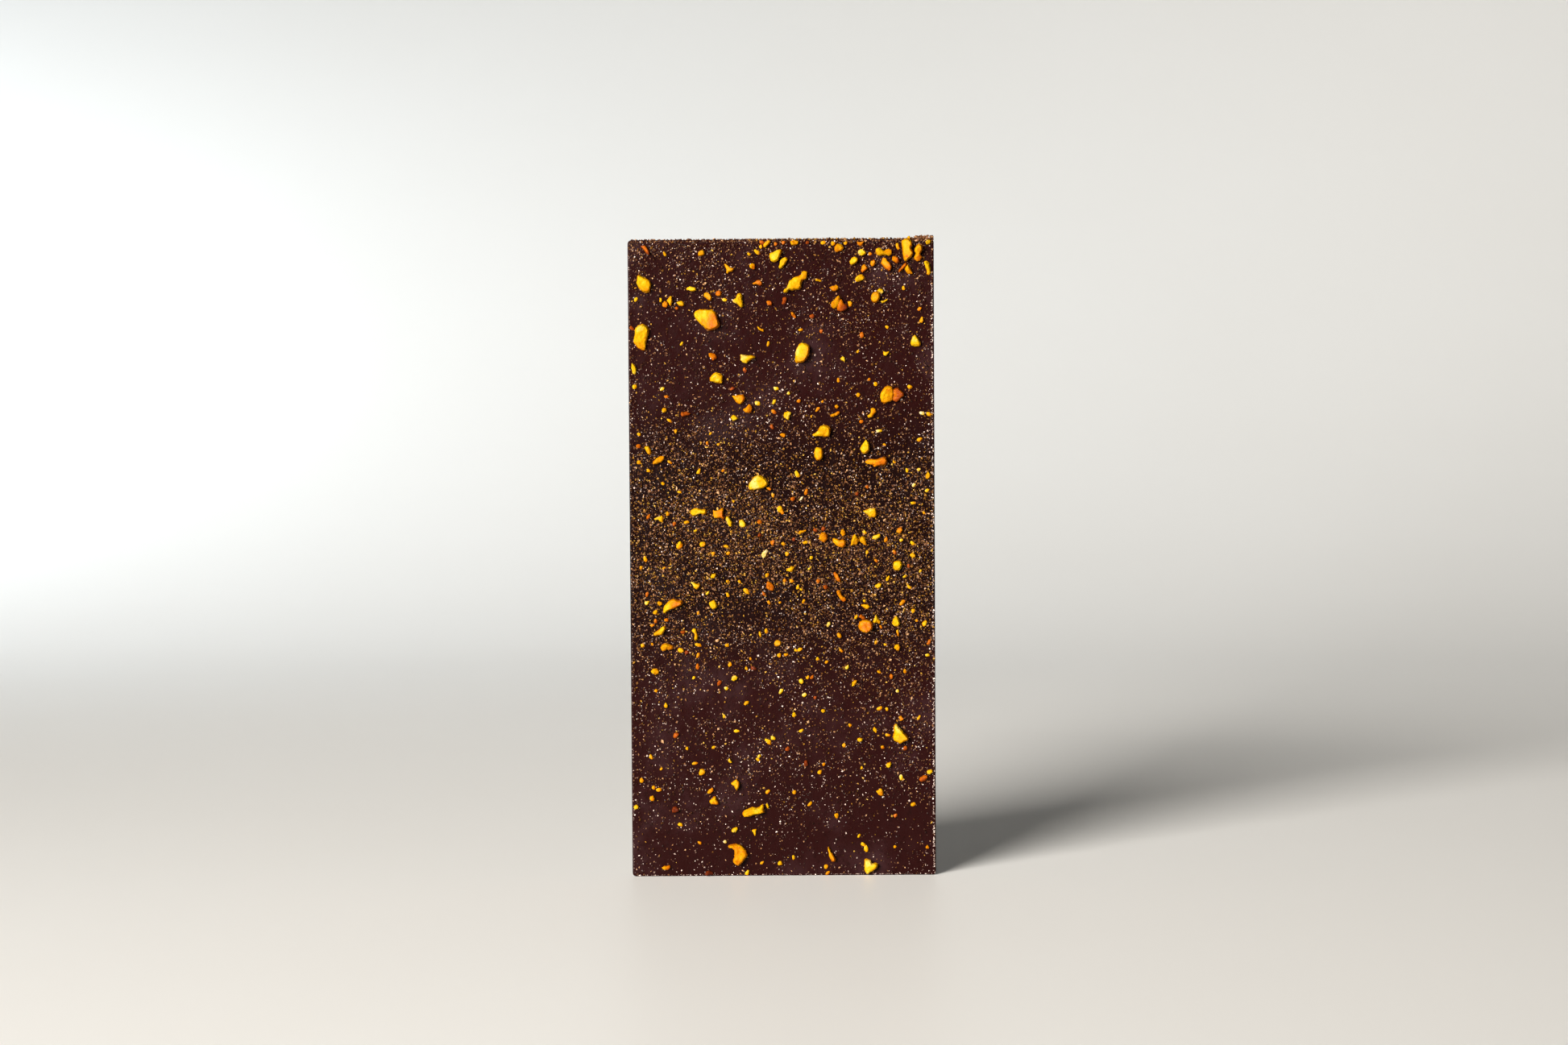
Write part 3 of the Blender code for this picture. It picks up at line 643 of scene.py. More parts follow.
CHIPS = (
    (0.36, 0.44, 1.3, ((40.6, 159.6), (41.7, 159.9), (42.8, 159.5), (42.7, 158.8), (41.7, 158.4),
     (40.9, 158.4))),
    (0.76, 0.86, 1.0, ((44.6, 159.5), (45.4, 159.6), (45.6, 158.9), (44.9, 158.6), (44.4, 158.9))),
    (0.46, 0.56, 1.1, ((57.2, 159.4), (58.1, 159.2), (59.3, 159.5), (58.9, 158.8), (58.2, 158.2),
     (57.4, 158.5))),
    (0.3, 0.34, 1.2, ((74.3, 159.2), (75.0, 159.8), (75.7, 159.5), (75.6, 158.8), (74.7, 158.5))),
    (0.34, 0.42, 1.4, ((34.0, 158.0), (33.9, 158.7), (34.6, 159.5), (35.4, 159.9), (35.9, 159.6),
     (35.5, 158.9), (34.9, 158.4), (34.4, 158.0))),
    (0.64, 0.86, 1.3, ((4.4, 158.6), (5.0, 158.0), (5.5, 157.3), (5.7, 156.4), (5.4, 156.1), (4.7, 156.6),
     (4.3, 157.4), (3.5, 158.1), (3.2, 158.5), (3.9, 158.8))),
    (0.44, 0.52, 1.6, ((51.7, 158.2), (52.5, 158.9), (53.4, 158.7), (54.1, 157.8), (53.5, 157.0),
     (52.2, 156.7), (51.7, 157.1))),
    (0.34, 0.4, 0.8, ((8.9, 157.3), (9.4, 157.0), (9.8, 156.4), (9.6, 155.9), (9.2, 156.0),
     (8.9, 156.7))),
    (0.46, 0.54, 1.1, ((18.2, 157.4), (18.9, 157.5), (19.4, 157.1), (19.3, 156.4), (18.6, 156.0),
     (17.8, 156.0), (17.6, 156.7))),
    (0.24, 0.36, 1.2, ((57.5, 156.9), (58.1, 157.4), (58.8, 157.6), (59.3, 157.0), (59.7, 156.6),
     (59.2, 156.0), (58.4, 155.7), (57.6, 156.2))),
    (0.28, 0.36, 1.5, ((39.7, 155.5), (40.1, 155.1), (39.7, 154.2), (39.1, 153.5), (38.6, 152.8),
     (37.9, 152.6), (37.7, 153.1), (37.9, 153.9), (38.2, 154.9), (38.9, 155.5))),
    (0.3, 0.38, 1.6, ((55.4, 154.5), (56.0, 155.3), (56.8, 155.6), (57.6, 155.1), (57.5, 154.4),
     (56.7, 153.7), (55.7, 153.5))),
    (0.5, 0.62, 1.3, ((60.7, 154.5), (61.7, 154.9), (62.0, 154.4), (61.7, 153.4), (61.0, 153.0),
     (60.6, 153.7))),
    (0.56, 0.68, 1.4, ((58.4, 153.2), (59.1, 153.7), (59.7, 153.2), (60.1, 152.7), (59.3, 151.9),
     (58.6, 151.4), (58.2, 152.0))),
    (0.32, 0.36, 1.4, ((74.1, 154.4), (74.7, 154.5), (75.4, 153.9), (75.6, 152.7), (75.7, 151.4),
     (75.3, 150.7), (74.7, 151.0), (74.7, 152.1), (74.3, 153.0), (74.1, 153.8))),
    (0.38, 0.52, 1.1, ((24.0, 154.1), (24.7, 153.9), (25.3, 153.5), (25.7, 153.0), (26.5, 153.0),
     (26.7, 152.6), (26.1, 152.0), (25.4, 151.9), (25.0, 151.4), (24.6, 151.7), (24.7, 152.4),
     (24.4, 153.1))),
    (0.34, 0.66, 1.2, ((30.4, 153.7), (31.0, 154.1), (31.7, 153.9), (31.9, 153.1), (31.8, 152.4),
     (31.0, 152.6), (30.4, 153.0))),
    (0.28, 0.32, 1.5, ((56.7, 149.9), (57.0, 150.6), (57.8, 151.1), (58.8, 151.2), (59.3, 150.3),
     (58.8, 149.8), (57.7, 149.3), (57.0, 149.2))),
    (0.26, 0.3, 0.8, ((46.7, 149.9), (47.2, 150.3), (47.8, 150.0), (48.6, 149.7), (48.2, 149.2),
     (47.5, 149.5), (47.0, 149.6))),
    (0.5, 0.64, 1.1, ((31.0, 149.1), (31.8, 149.4), (32.2, 149.9), (33.1, 149.9), (33.7, 149.4),
     (33.6, 148.6), (32.8, 148.5), (32.2, 148.8), (31.4, 148.8))),
    (0.28, 0.38, 1.1, ((14.6, 148.0), (15.4, 148.4), (16.1, 148.3), (17.2, 148.1), (17.1, 147.4),
     (16.4, 147.1), (15.7, 147.2), (15.3, 147.5), (14.6, 147.6))),
    (0.46, 0.58, 1.2, ((50.2, 147.9), (51.1, 148.2), (52.2, 148.6), (52.7, 148.2), (52.7, 147.6),
     (52.0, 147.0), (51.1, 147.1), (50.6, 147.6))),
    (0.22, 0.26, 1.4, ((62.2, 147.1), (62.9, 147.6), (63.8, 147.4), (64.0, 146.7), (63.5, 146.2),
     (62.9, 146.4))),
    (0.3, 0.34, 0.8, ((63.2, 144.4), (64.1, 144.6), (64.9, 145.1), (65.0, 144.6), (64.2, 144.1),
     (63.5, 143.9))),
    (0.32, 0.36, 1.5, ((10.1, 145.5), (10.7, 146.0), (11.1, 145.9), (11.2, 145.1), (11.0, 144.1),
     (10.8, 143.4), (10.4, 143.7), (10.1, 144.4), (9.7, 144.9))),
    (0.54, 0.64, 1.2, ((8.6, 144.2), (9.2, 144.8), (9.9, 144.6), (10.1, 143.8), (9.7, 143.1),
     (8.9, 143.2), (8.5, 143.7))),
    (0.24, 0.28, 0.8, ((7.9, 144.6), (8.0, 145.7), (8.5, 145.5), (8.7, 144.9), (8.3, 144.4))),
    (0.34, 0.4, 1.0, ((12.1, 144.4), (12.9, 144.8), (13.6, 144.8), (14.2, 144.1), (14.0, 143.5),
     (13.2, 143.5), (12.5, 143.8))),
    (0.56, 0.64, 0.7, ((11.7, 143.2), (12.2, 143.4), (12.8, 143.0), (12.4, 142.6), (11.9, 142.8))),
    (0.4, 0.56, 1.3, ((19.0, 146.7), (19.9, 146.9), (20.8, 146.3), (21.1, 145.6), (20.8, 144.9),
     (20.4, 144.8), (19.7, 145.3), (19.0, 145.9))),
    (0.54, 0.62, 1.2, ((21.9, 147.1), (22.9, 147.4), (23.5, 146.9), (23.3, 146.0), (22.5, 145.8),
     (21.9, 146.3))),
    (0.28, 0.32, 1.6, ((26.1, 144.9), (26.9, 145.5), (27.5, 146.6), (28.1, 146.7), (28.7, 146.2),
     (28.6, 145.1), (28.8, 144.1), (28.7, 143.0), (28.1, 143.0), (27.4, 143.8), (26.4, 144.4))),
    (0.5, 0.74, 1.0, ((34.6, 144.6), (35.4, 144.8), (36.1, 144.4), (36.0, 143.5), (35.1, 143.5),
     (34.7, 144.1))),
    (0.36, 0.48, 1.1, ((54.9, 144.4), (55.6, 144.6), (56.2, 144.2), (56.0, 143.2), (55.3, 143.0),
     (55.0, 143.7))),
    (0.46, 0.56, 0.9, ((40.6, 141.9), (41.1, 142.0), (41.8, 141.2), (42.1, 140.3), (41.5, 140.2),
     (41.0, 140.9))),
    (0.32, 0.38, 0.9, ((73.3, 140.5), (73.8, 140.6), (73.9, 139.6), (73.6, 139.0), (72.9, 139.0),
     (72.8, 139.5))),
    (0.36, 0.44, 0.9, ((32.2, 138.5), (32.9, 137.9), (33.9, 137.7), (34.0, 137.0), (33.3, 137.1),
     (32.6, 137.5))),
    (0.56, 0.8, 1.1, ((20.1, 131.7), (20.8, 131.8), (21.7, 131.6), (22.2, 130.6), (21.7, 130.0),
     (21.1, 129.6), (20.7, 130.4), (20.2, 130.9))),
    (0.32, 0.36, 1.1, ((63.6, 132.0), (64.6, 131.7), (65.4, 132.0), (65.0, 131.4), (64.3, 130.6),
     (63.8, 131.0))),
    (0.28, 0.32, 1.1, ((52.8, 130.2), (53.6, 130.8), (54.2, 130.4), (54.3, 129.7), (54.1, 129.3),
     (53.4, 129.7))),
    (0.26, 0.32, 1.1, ((0.8, 129.5), (1.2, 129.3), (1.8, 128.6), (2.0, 127.9), (1.9, 126.7), (1.5, 126.4),
     (1.0, 126.8), (0.7, 128.1))),
    (0.72, 0.84, 1.1, ((12.9, 116.4), (13.2, 117.1), (13.7, 117.0), (14.6, 117.1), (15.3, 116.8),
     (15.6, 116.6), (14.7, 116.1), (13.7, 115.9), (13.3, 115.7))),
    (0.28, 0.32, 1.3, ((38.7, 116.1), (38.9, 116.8), (39.7, 117.1), (40.8, 116.8), (40.4, 116.0),
     (40.0, 114.7), (39.5, 115.0), (38.9, 115.4))),
    (0.4, 0.58, 1.1, ((50.2, 116.1), (51.1, 116.3), (52.0, 116.8), (52.7, 117.1), (52.9, 116.6),
     (52.2, 115.9), (51.3, 115.6), (50.6, 115.7))),
    (0.46, 0.54, 0.9, ((51.5, 118.4), (52.2, 118.8), (52.7, 118.1), (52.2, 117.6), (51.7, 117.8))),
    (0.32, 0.56, 1.3, ((59.6, 115.6), (60.2, 116.3), (60.6, 116.8), (60.6, 117.7), (61.1, 117.9),
     (61.8, 117.5), (62.0, 116.8), (61.4, 116.1), (60.9, 115.4), (60.1, 115.2))),
    (0.32, 0.36, 1.1, ((8.2, 117.5), (8.6, 118.1), (9.4, 118.1), (9.6, 117.5), (9.0, 116.9),
     (8.3, 116.9))),
    (0.28, 0.34, 1.1, ((25.4, 115.7), (26.1, 116.3), (26.8, 116.0), (27.5, 115.4), (26.9, 115.0),
     (26.1, 114.7), (25.7, 115.2))),
    (0.34, 0.4, 0.9, ((11.2, 112.5), (11.8, 112.9), (12.2, 112.4), (11.9, 111.6), (11.5, 111.7))),
    (0.5, 0.62, 1.0, ((37.7, 111.3), (38.4, 111.7), (39.2, 111.4), (39.3, 110.9), (38.8, 110.4),
     (38.1, 110.9))),
    (0.28, 0.4, 1.2, ((3.7, 108.2), (4.2, 108.6), (4.9, 108.5), (5.4, 107.8), (5.6, 107.0), (5.4, 106.3),
     (4.7, 106.6), (4.2, 107.4))),
    (0.3, 0.36, 1.2, ((74.2, 100.9), (74.9, 101.8), (75.4, 101.1), (75.3, 100.2), (74.7, 99.7),
     (74.2, 100.1))),
    (0.48, 0.56, 1.0, ((34.2, 98.1), (34.9, 98.2), (35.7, 97.6), (35.3, 97.1), (34.6, 97.5))),
    (0.3, 0.62, 1.1, ((36.9, 92.9), (37.5, 93.5), (38.2, 93.2), (38.5, 92.2), (38.9, 91.4), (38.3, 91.0),
     (37.8, 91.7), (37.1, 92.0))),
    (0.0, 0.06, 0.5, ((42.4, 94.7), (43.1, 95.6), (43.7, 95.8), (43.4, 95.0), (42.8, 94.6))),
    (0.28, 0.5, 1.2, ((6.0, 90.3), (7.1, 90.9), (8.2, 91.1), (8.5, 90.4), (8.4, 89.5), (7.8, 89.6),
     (7.1, 90.0), (6.4, 90.0))),
    (0.26, 0.3, 1.4, ((24.1, 90.7), (24.7, 90.9), (25.3, 90.3), (25.7, 89.3), (25.7, 88.4), (25.0, 88.1),
     (24.4, 89.1), (24.0, 90.0))),
    (0.26, 0.3, 1.4, ((27.5, 89.7), (28.1, 90.1), (28.7, 89.7), (29.3, 88.8), (29.0, 88.1), (28.1, 87.9),
     (27.4, 88.5))),
    (0.4, 0.44, 1.1, ((42.1, 86.4), (42.5, 87.0), (43.5, 87.3), (44.3, 87.5), (44.4, 87.0), (43.5, 86.6),
     (42.7, 86.1))),
    (0.34, 0.52, 1.2, ((52.8, 86.4), (53.1, 87.4), (53.6, 87.6), (54.1, 86.8), (54.0, 85.9),
     (53.4, 85.6))),
    (0.54, 0.62, 1.3, ((66.8, 86.7), (67.2, 87.7), (68.2, 87.9), (68.6, 87.2), (67.9, 86.3),
     (67.2, 86.3))),
    (0.24, 0.3, 1.1, ((60.7, 84.9), (61.0, 85.7), (62.1, 86.1), (62.9, 86.2), (62.7, 85.4),
     (61.7, 84.8))),
    (0.3, 0.62, 1.3, ((11.5, 83.4), (12.1, 84.1), (12.6, 84.8), (13.2, 84.1), (13.3, 83.2), (12.6, 82.5),
     (11.9, 82.7))),
    (0.3, 0.38, 1.1, ((17.4, 83.9), (17.9, 84.5), (18.9, 84.4), (19.2, 83.8), (18.7, 83.2),
     (17.8, 83.1))),
    (0.32, 0.36, 0.9, ((43.2, 84.2), (44.1, 84.7), (44.9, 84.5), (44.5, 83.8), (43.6, 83.6))),
    (0.46, 0.54, 0.8, ((23.2, 83.5), (24.2, 83.8), (25.0, 83.4), (24.7, 82.8), (23.9, 82.9))),
    (0.04, 0.1, 0.7, ((32.9, 80.9), (33.3, 81.8), (34.3, 82.7), (34.7, 82.1), (34.3, 81.0), (33.6, 80.2),
     (33.1, 80.4))),
    (0.26, 0.32, 1.1, ((70.1, 80.9), (70.9, 81.4), (71.7, 81.0), (71.6, 80.3), (70.7, 80.1))),
    (0.34, 0.4, 1.1, ((39.1, 77.1), (39.9, 77.8), (40.4, 78.3), (41.4, 78.0), (41.1, 77.3), (40.4, 76.7),
     (39.7, 77.0))),
    (0.38, 0.46, 1.0, ((20.1, 75.4), (20.6, 76.3), (21.5, 76.6), (21.7, 76.0), (21.1, 75.3),
     (20.4, 75.2))),
    (0.54, 0.64, 1.3, ((50.9, 76.4), (51.4, 76.8), (52.0, 76.3), (52.5, 75.6), (52.9, 74.7), (52.7, 74.1),
     (52.0, 74.3), (51.4, 75.2))),
    (0.28, 0.32, 1.0, ((64.1, 74.3), (64.3, 75.2), (65.0, 75.8), (65.3, 75.4), (65.0, 74.7),
     (64.5, 74.2))),
    (0.28, 0.36, 1.2, ((15.1, 74.5), (15.8, 74.3), (16.8, 73.9), (17.7, 73.8), (17.5, 73.1), (16.7, 72.5),
     (15.9, 72.9), (15.6, 73.8))),
    (0.54, 0.7, 1.2, ((34.0, 73.2), (34.3, 74.5), (35.0, 74.3), (35.7, 73.8), (36.4, 72.9), (36.0, 72.0),
     (35.1, 72.1), (34.4, 72.5))),
    (0.26, 0.32, 1.1, ((61.3, 73.2), (62.0, 73.7), (63.1, 73.8), (62.9, 72.8), (62.2, 72.4),
     (61.6, 72.7))),
    (0.78, 0.88, 1.0, ((48.4, 72.9), (48.6, 73.4), (49.3, 73.5), (49.8, 72.9), (49.5, 72.4),
     (48.7, 72.4))),
    (0.5, 0.66, 1.3, ((51.8, 72.0), (52.4, 72.2), (52.9, 71.6), (53.2, 70.7), (54.2, 70.0), (54.3, 69.3),
     (53.5, 69.1), (52.8, 69.7), (52.4, 70.4), (51.8, 71.2))),
    (0.3, 0.34, 0.9, ((18.8, 71.4), (19.3, 72.0), (20.0, 72.1), (19.7, 71.4), (19.1, 71.0))),
    (0.22, 0.28, 0.9, ((3.5, 68.9), (3.7, 69.6), (4.9, 69.7), (4.7, 69.1), (4.2, 68.4))),
    (0.34, 0.44, 1.0, ((6.7, 69.1), (7.1, 69.6), (7.9, 69.4), (8.0, 68.7), (7.3, 68.3))),
    (0.32, 0.4, 1.2, ((57.7, 68.4), (58.8, 68.6), (59.7, 68.5), (60.2, 67.9), (59.6, 67.2), (58.8, 67.5),
     (58.1, 68.0))),
    (0.38, 0.46, 1.0, ((5.6, 66.4), (5.8, 67.1), (6.7, 67.5), (6.9, 66.8), (6.5, 66.1))),
    (0.74, 0.82, 0.9, ((57.2, 65.3), (57.9, 66.0), (58.8, 65.4), (59.2, 64.8), (58.2, 64.7))),
    (0.32, 0.4, 1.0, ((56.1, 64.9), (56.3, 65.6), (57.0, 66.0), (57.1, 65.3), (56.7, 64.7))),
    (0.28, 0.32, 1.1, ((73.1, 63.4), (73.4, 64.1), (74.2, 64.5), (74.6, 64.1), (74.2, 63.2),
     (73.6, 62.7))),
    (0.24, 0.28, 0.9, ((49.1, 63.2), (49.5, 64.1), (50.3, 64.2), (50.2, 63.4), (49.6, 62.7))),
    (0.64, 0.72, 0.8, ((12.4, 61.8), (13.1, 62.2), (13.9, 62.1), (13.6, 61.3), (12.8, 61.3))),
    (0.26, 0.34, 1.3, ((15.3, 62.1), (15.7, 62.7), (16.4, 62.6), (16.6, 61.8), (17.0, 60.9), (16.9, 60.0),
     (16.2, 59.5), (15.9, 60.2), (16.1, 61.1), (15.7, 61.7))),
    (0.28, 0.34, 0.9, ((32.1, 61.8), (32.6, 62.0), (32.9, 61.1), (32.8, 60.2), (32.4, 60.4))),
    (0.42, 0.5, 0.9, ((66.7, 61.8), (67.1, 62.1), (67.5, 61.1), (67.4, 60.2), (66.9, 60.6))),
    (0.4, 0.46, 1.1, ((51.8, 60.9), (52.1, 61.6), (52.8, 61.2), (53.1, 60.4), (52.7, 60.0),
     (52.0, 60.2))),
    (0.5, 0.58, 1.3, ((36.0, 58.8), (36.4, 59.5), (37.2, 59.7), (37.9, 59.2), (37.8, 58.4), (36.9, 58.0),
     (36.2, 58.2))),
    (0.38, 0.54, 1.2, ((66.1, 57.5), (66.4, 58.3), (67.4, 58.5), (67.7, 57.7), (67.4, 56.7),
     (66.6, 56.9))),
    (0.36, 0.42, 1.3, ((11.7, 57.5), (12.2, 57.9), (13.2, 57.7), (13.5, 57.1), (12.9, 56.5),
     (12.0, 56.7))),
    (0.28, 0.34, 1.0, ((53.6, 52.7), (54.2, 53.2), (54.9, 53.4), (54.8, 52.5), (54.3, 52.0),
     (53.9, 52.2))),
    (0.3, 0.36, 1.4, ((5.0, 52.0), (5.6, 52.6), (6.5, 52.6), (7.1, 52.1), (7.1, 51.4), (6.2, 51.0),
     (5.4, 51.4))),
    (0.28, 0.36, 1.1, ((25.1, 49.6), (25.4, 50.4), (26.2, 50.9), (26.9, 50.4), (26.7, 49.7),
     (25.8, 49.2))),
    (0.64, 0.78, 0.9, ((44.9, 49.9), (45.3, 50.7), (46.0, 50.9), (46.0, 50.0), (45.4, 49.5))),
    (0.5, 0.68, 0.9, ((64.9, 50.3), (65.3, 51.0), (65.9, 50.6), (65.9, 49.7), (65.3, 49.5))),
    (0.3, 0.34, 1.1, ((42.1, 49.6), (42.8, 50.0), (43.4, 49.5), (43.4, 48.8), (42.8, 48.4),
     (42.2, 48.9))),
    (0.38, 0.44, 1.2, ((55.4, 47.8), (55.6, 48.8), (56.3, 49.5), (56.9, 49.5), (56.7, 48.6),
     (56.1, 47.9))),
    (0.42, 0.54, 0.9, ((28.2, 43.4), (28.7, 44.2), (29.7, 44.4), (29.6, 43.8), (28.7, 43.1))),
    (0.28, 0.34, 1.0, ((8.2, 43.2), (8.6, 44.1), (9.3, 43.5), (9.1, 42.7), (8.5, 42.7))),
    (0.38, 0.44, 0.9, ((47.6, 41.7), (48.1, 42.2), (48.9, 42.0), (48.8, 41.5), (48.2, 41.2))),
    (0.46, 0.56, 1.0, ((67.2, 40.1), (67.9, 40.4), (68.6, 39.6), (68.4, 39.1), (67.6, 39.0))),
    (0.7, 0.82, 1.0, ((10.5, 35.4), (10.7, 36.4), (11.4, 36.6), (12.2, 36.1), (11.9, 35.4), (11.2, 35.0),
     (10.7, 35.0))),
    (0.3, 0.36, 1.1, ((56.7, 34.5), (57.2, 34.9), (58.2, 34.7), (58.1, 34.1), (57.4, 33.7),
     (56.9, 34.0))),
    (0.22, 0.26, 0.9, ((24.1, 29.3), (24.7, 29.9), (25.4, 28.9), (25.0, 28.5), (24.4, 28.9))),
    (0.32, 0.36, 1.1, ((63.9, 27.8), (64.3, 28.4), (65.2, 28.7), (65.4, 28.1), (64.9, 27.2),
     (64.2, 27.2))),
    (0.24, 0.28, 1.0, ((74.2, 26.3), (74.9, 26.8), (75.7, 26.7), (75.9, 26.0), (75.0, 25.4),
     (74.3, 25.7))),
    (0.72, 0.84, 1.1, ((72.2, 24.0), (72.5, 24.7), (73.4, 25.3), (74.5, 25.4), (74.6, 24.6), (73.9, 23.9),
     (72.9, 23.6))),
    (0.42, 0.58, 1.0, ((18.9, 21.1), (19.4, 22.0), (20.4, 22.5), (20.6, 21.8), (20.0, 21.1),
     (19.4, 20.9))),
    (0.32, 0.5, 1.2, ((61.4, 21.3), (62.1, 21.6), (62.4, 22.1), (63.0, 22.1), (63.2, 21.6), (63.4, 20.4),
     (62.7, 20.0), (62.1, 20.4), (61.6, 20.9))),
    (0.44, 0.58, 1.0, ((4.4, 19.5), (4.5, 20.2), (5.3, 20.6), (5.8, 19.9), (5.6, 19.2), (4.9, 19.1))),
    (0.3, 0.36, 0.9, ((33.8, 18.4), (34.3, 18.2), (34.6, 17.5), (34.2, 16.9), (33.9, 17.5))),
    (0.3, 0.38, 1.0, ((0.4, 17.8), (1.1, 18.4), (1.8, 17.9), (1.5, 17.2), (0.7, 17.1))),
    (0.8, 0.9, 1.2, ((9.9, 17.0), (10.4, 17.7), (11.2, 17.7), (11.9, 17.2), (11.8, 16.4), (11.0, 16.2),
     (10.1, 16.1))),
    (0.24, 0.28, 1.0, ((25.1, 11.1), (25.0, 11.8), (25.8, 12.4), (26.5, 12.5), (26.6, 11.8),
     (26.0, 11.0))),
    (0.3, 0.34, 0.7, ((30.1, 11.7), (31.4, 12.0), (31.2, 10.9), (30.9, 10.0), (30.6, 10.9))),
    (0.46, 0.54, 0.9, ((73.9, 7.1), (74.3, 7.7), (74.9, 7.2), (74.7, 6.7), (74.0, 6.6))),
    (0.5, 0.7, 1.0, ((7.2, 2.2), (8.0, 2.7), (8.6, 2.7), (9.5, 2.9), (9.6, 2.2), (8.9, 1.6), (7.9, 1.6))),
    (0.92, 0.98, 1.1, ((18.1, 0.6), (18.5, 1.3), (19.3, 1.5), (20.3, 1.1), (20.7, 0.4), (19.6, 0.2),
     (18.6, 0.2))),
)

# How each piece gets its form: how deep it has sunk in, what share of its written rise it's raised by, how
# much of that its walls take and how far they lean in, how far in its crown starts and how far it tips.
SUNK = 0.35 * MM
PROUD_SHARE = 0.92
WALL_SHARE = 0.62
WALL_LEAN = 0.92
CROWN_INSET = 0.3 * MM
CROWN_INSET_SHARE = 0.22
CROWN_TILT = 0.34
# A corner belongs to the crown where it's this share of the rise further out than the walls' tops.
CROWN_CLEAR = 0.01
# How finely it's skinned, how much it melts, and the size and rise of the dents and pits in it.
LUMP_VOXEL = 0.18 * MM
CHIP_VOXEL = 0.14 * MM
MELT_SHARE = 0.5
MELT_TURNS = 2
DENT_SIZE = 1.0 * MM
DENT_RISE = 0.36 * MM
PIT_SIZE = 0.42 * MM
PIT_RISE = 0.2 * MM
SUGAR_SMOOTH_ANGLE = math.radians(50)
PIECE_SEED = 11
# Towards the light, as the bar's face sees it, how fast painted shade darkens the sugar away from it, and
# how far that has gone at a piece's middle.
LIT_ACROSS = -0.87
LIT_UP = 0.5
SHADE_SLOPE = 0.6
SHADE_AT_MIDDLE = 0.38
PROBE_START = FACE_Y - 20 * MM

bar_surface = BVHTree.FromObject(bar, bpy.context.evaluated_depsgraph_get())
piece_draw = np.random.default_rng(PIECE_SEED)


def face_at(across, up):
    """The Y of the strewn face at a place across from its middle and up from the foot, in metres."""
    hit = bar_surface.ray_cast(Vector((across, PROBE_START, up)), Vector((0, 1, 0)))
    return hit[0].y if hit[0] is not None else FACE_Y


def cloud_dents(piece):
    add_relief(piece, dent_texture, DENT_RISE)
    add_relief(piece, pit_texture, PIT_RISE)
    apply_modifiers(piece)


def mark_points(mesh, name, values):
    attribute = mesh.attributes.new(name, "FLOAT", "POINT")
    attribute.data.foreach_set("value", values)


def mark_sugar(mesh, middle, reach, foot, proud, dark, shaded_dark):
    """Stores on each point how dark its sugar is, with painted shade on the side away from the light, and
    how far it is up the piece's side, from 0 to 1.
    """
    places = np.empty(len(mesh.vertices) * 3)
    mesh.vertices.foreach_get("co", places)
    places = places.reshape(-1, 3)
    # Painted shade: the sugar darkens from its lit side towards the side away from the light.
    away_from_light = -(LIT_ACROSS * (places[:, 0] - middle[0]) + LIT_UP * (places[:, 2] - middle[1])) / reach
    share = np.clip(away_from_light * SHADE_SLOPE + SHADE_AT_MIDDLE, 0, 1)
    mark_points(mesh, "dark", dark + (shaded_dark - dark) * share * share * (3 - 2 * share))
    mark_points(mesh, "rise", np.clip((foot - places[:, 1]) / proud, 0, 1))


def join_copies(name, copies):
    select_only(copies[0])
    for copy in copies:
        copy.select_set(True)
    bpy.ops.object.join()
    joined = copies[0]
    joined.name = name
    return joined


def raise_piece(name, outline, proud, voxel):
    """A closed piece on its outline: pulled out of the face, drawn in, tipped at its crown, then melted."""
    corners = [(x * MM - BAR_WIDTH / 2, z * MM) for x, z in outline]
    across = sum(x for x, _ in corners) / len(corners)
    up = sum(z for _, z in corners) / len(corners)
    reach = sum(math.dist(corner, (across, up)) for corner in corners) / len(corners)
    skin = face_at(across, up)
    deselect_all()
    bpy.ops.mesh.primitive_circle_add(
        vertices=len(corners), radius=reach, fill_type="NGON", location=(0, 0, 0)
    )
    piece = bpy.context.object
    piece.name = name
    for corner, (x, z) in zip(piece.data.vertices, corners):
        corner.co = (x, skin + SUNK, z)
    middle = (across, skin, up)
    bpy.ops.object.mode_set(mode="EDIT")
    bpy.ops.mesh.select_all(action="SELECT")
    bpy.ops.mesh.extrude_region_move(TRANSFORM_OT_translate={"value": (0, -(SUNK + WALL_SHARE * proud), 0)})
    bpy.ops.transform.resize(value=(WALL_LEAN, 1, WALL_LEAN), center_override=middle)
    bpy.ops.mesh.inset(thickness=min(CROWN_INSET, reach * CROWN_INSET_SHARE))
    bpy.ops.transform.translate(value=(0, -(1 - WALL_SHARE) * proud, 0))
    bpy.ops.object.mode_set(mode="OBJECT")
    tilt = piece_draw.uniform(-1, 1, 2) * CROWN_TILT * proud / reach
    crown = skin - (WALL_SHARE + CROWN_CLEAR) * proud
    for corner in piece.data.vertices:
        if corner.co.y < crown:
            corner.co.y += tilt[0] * (corner.co.x - across) + tilt[1] * (corner.co.z - up)
    bpy.ops.object.mode_set(mode="EDIT")
    bpy.ops.mesh.select_all(action="SELECT")
    bpy.ops.mesh.normals_make_consistent(inside=False)
    bpy.ops.object.mode_set(mode="OBJECT")
    skinned = piece.modifiers.new("Skin", "REMESH")
    skinned.mode = "VOXEL"
    skinned.voxel_size = voxel
    melt = piece.modifiers.new("Melt", "SMOOTH")
    melt.factor = MELT_SHARE
    melt.iterations = MELT_TURNS
    apply_modifiers(piece)
    return piece, (across, up), reach, skin


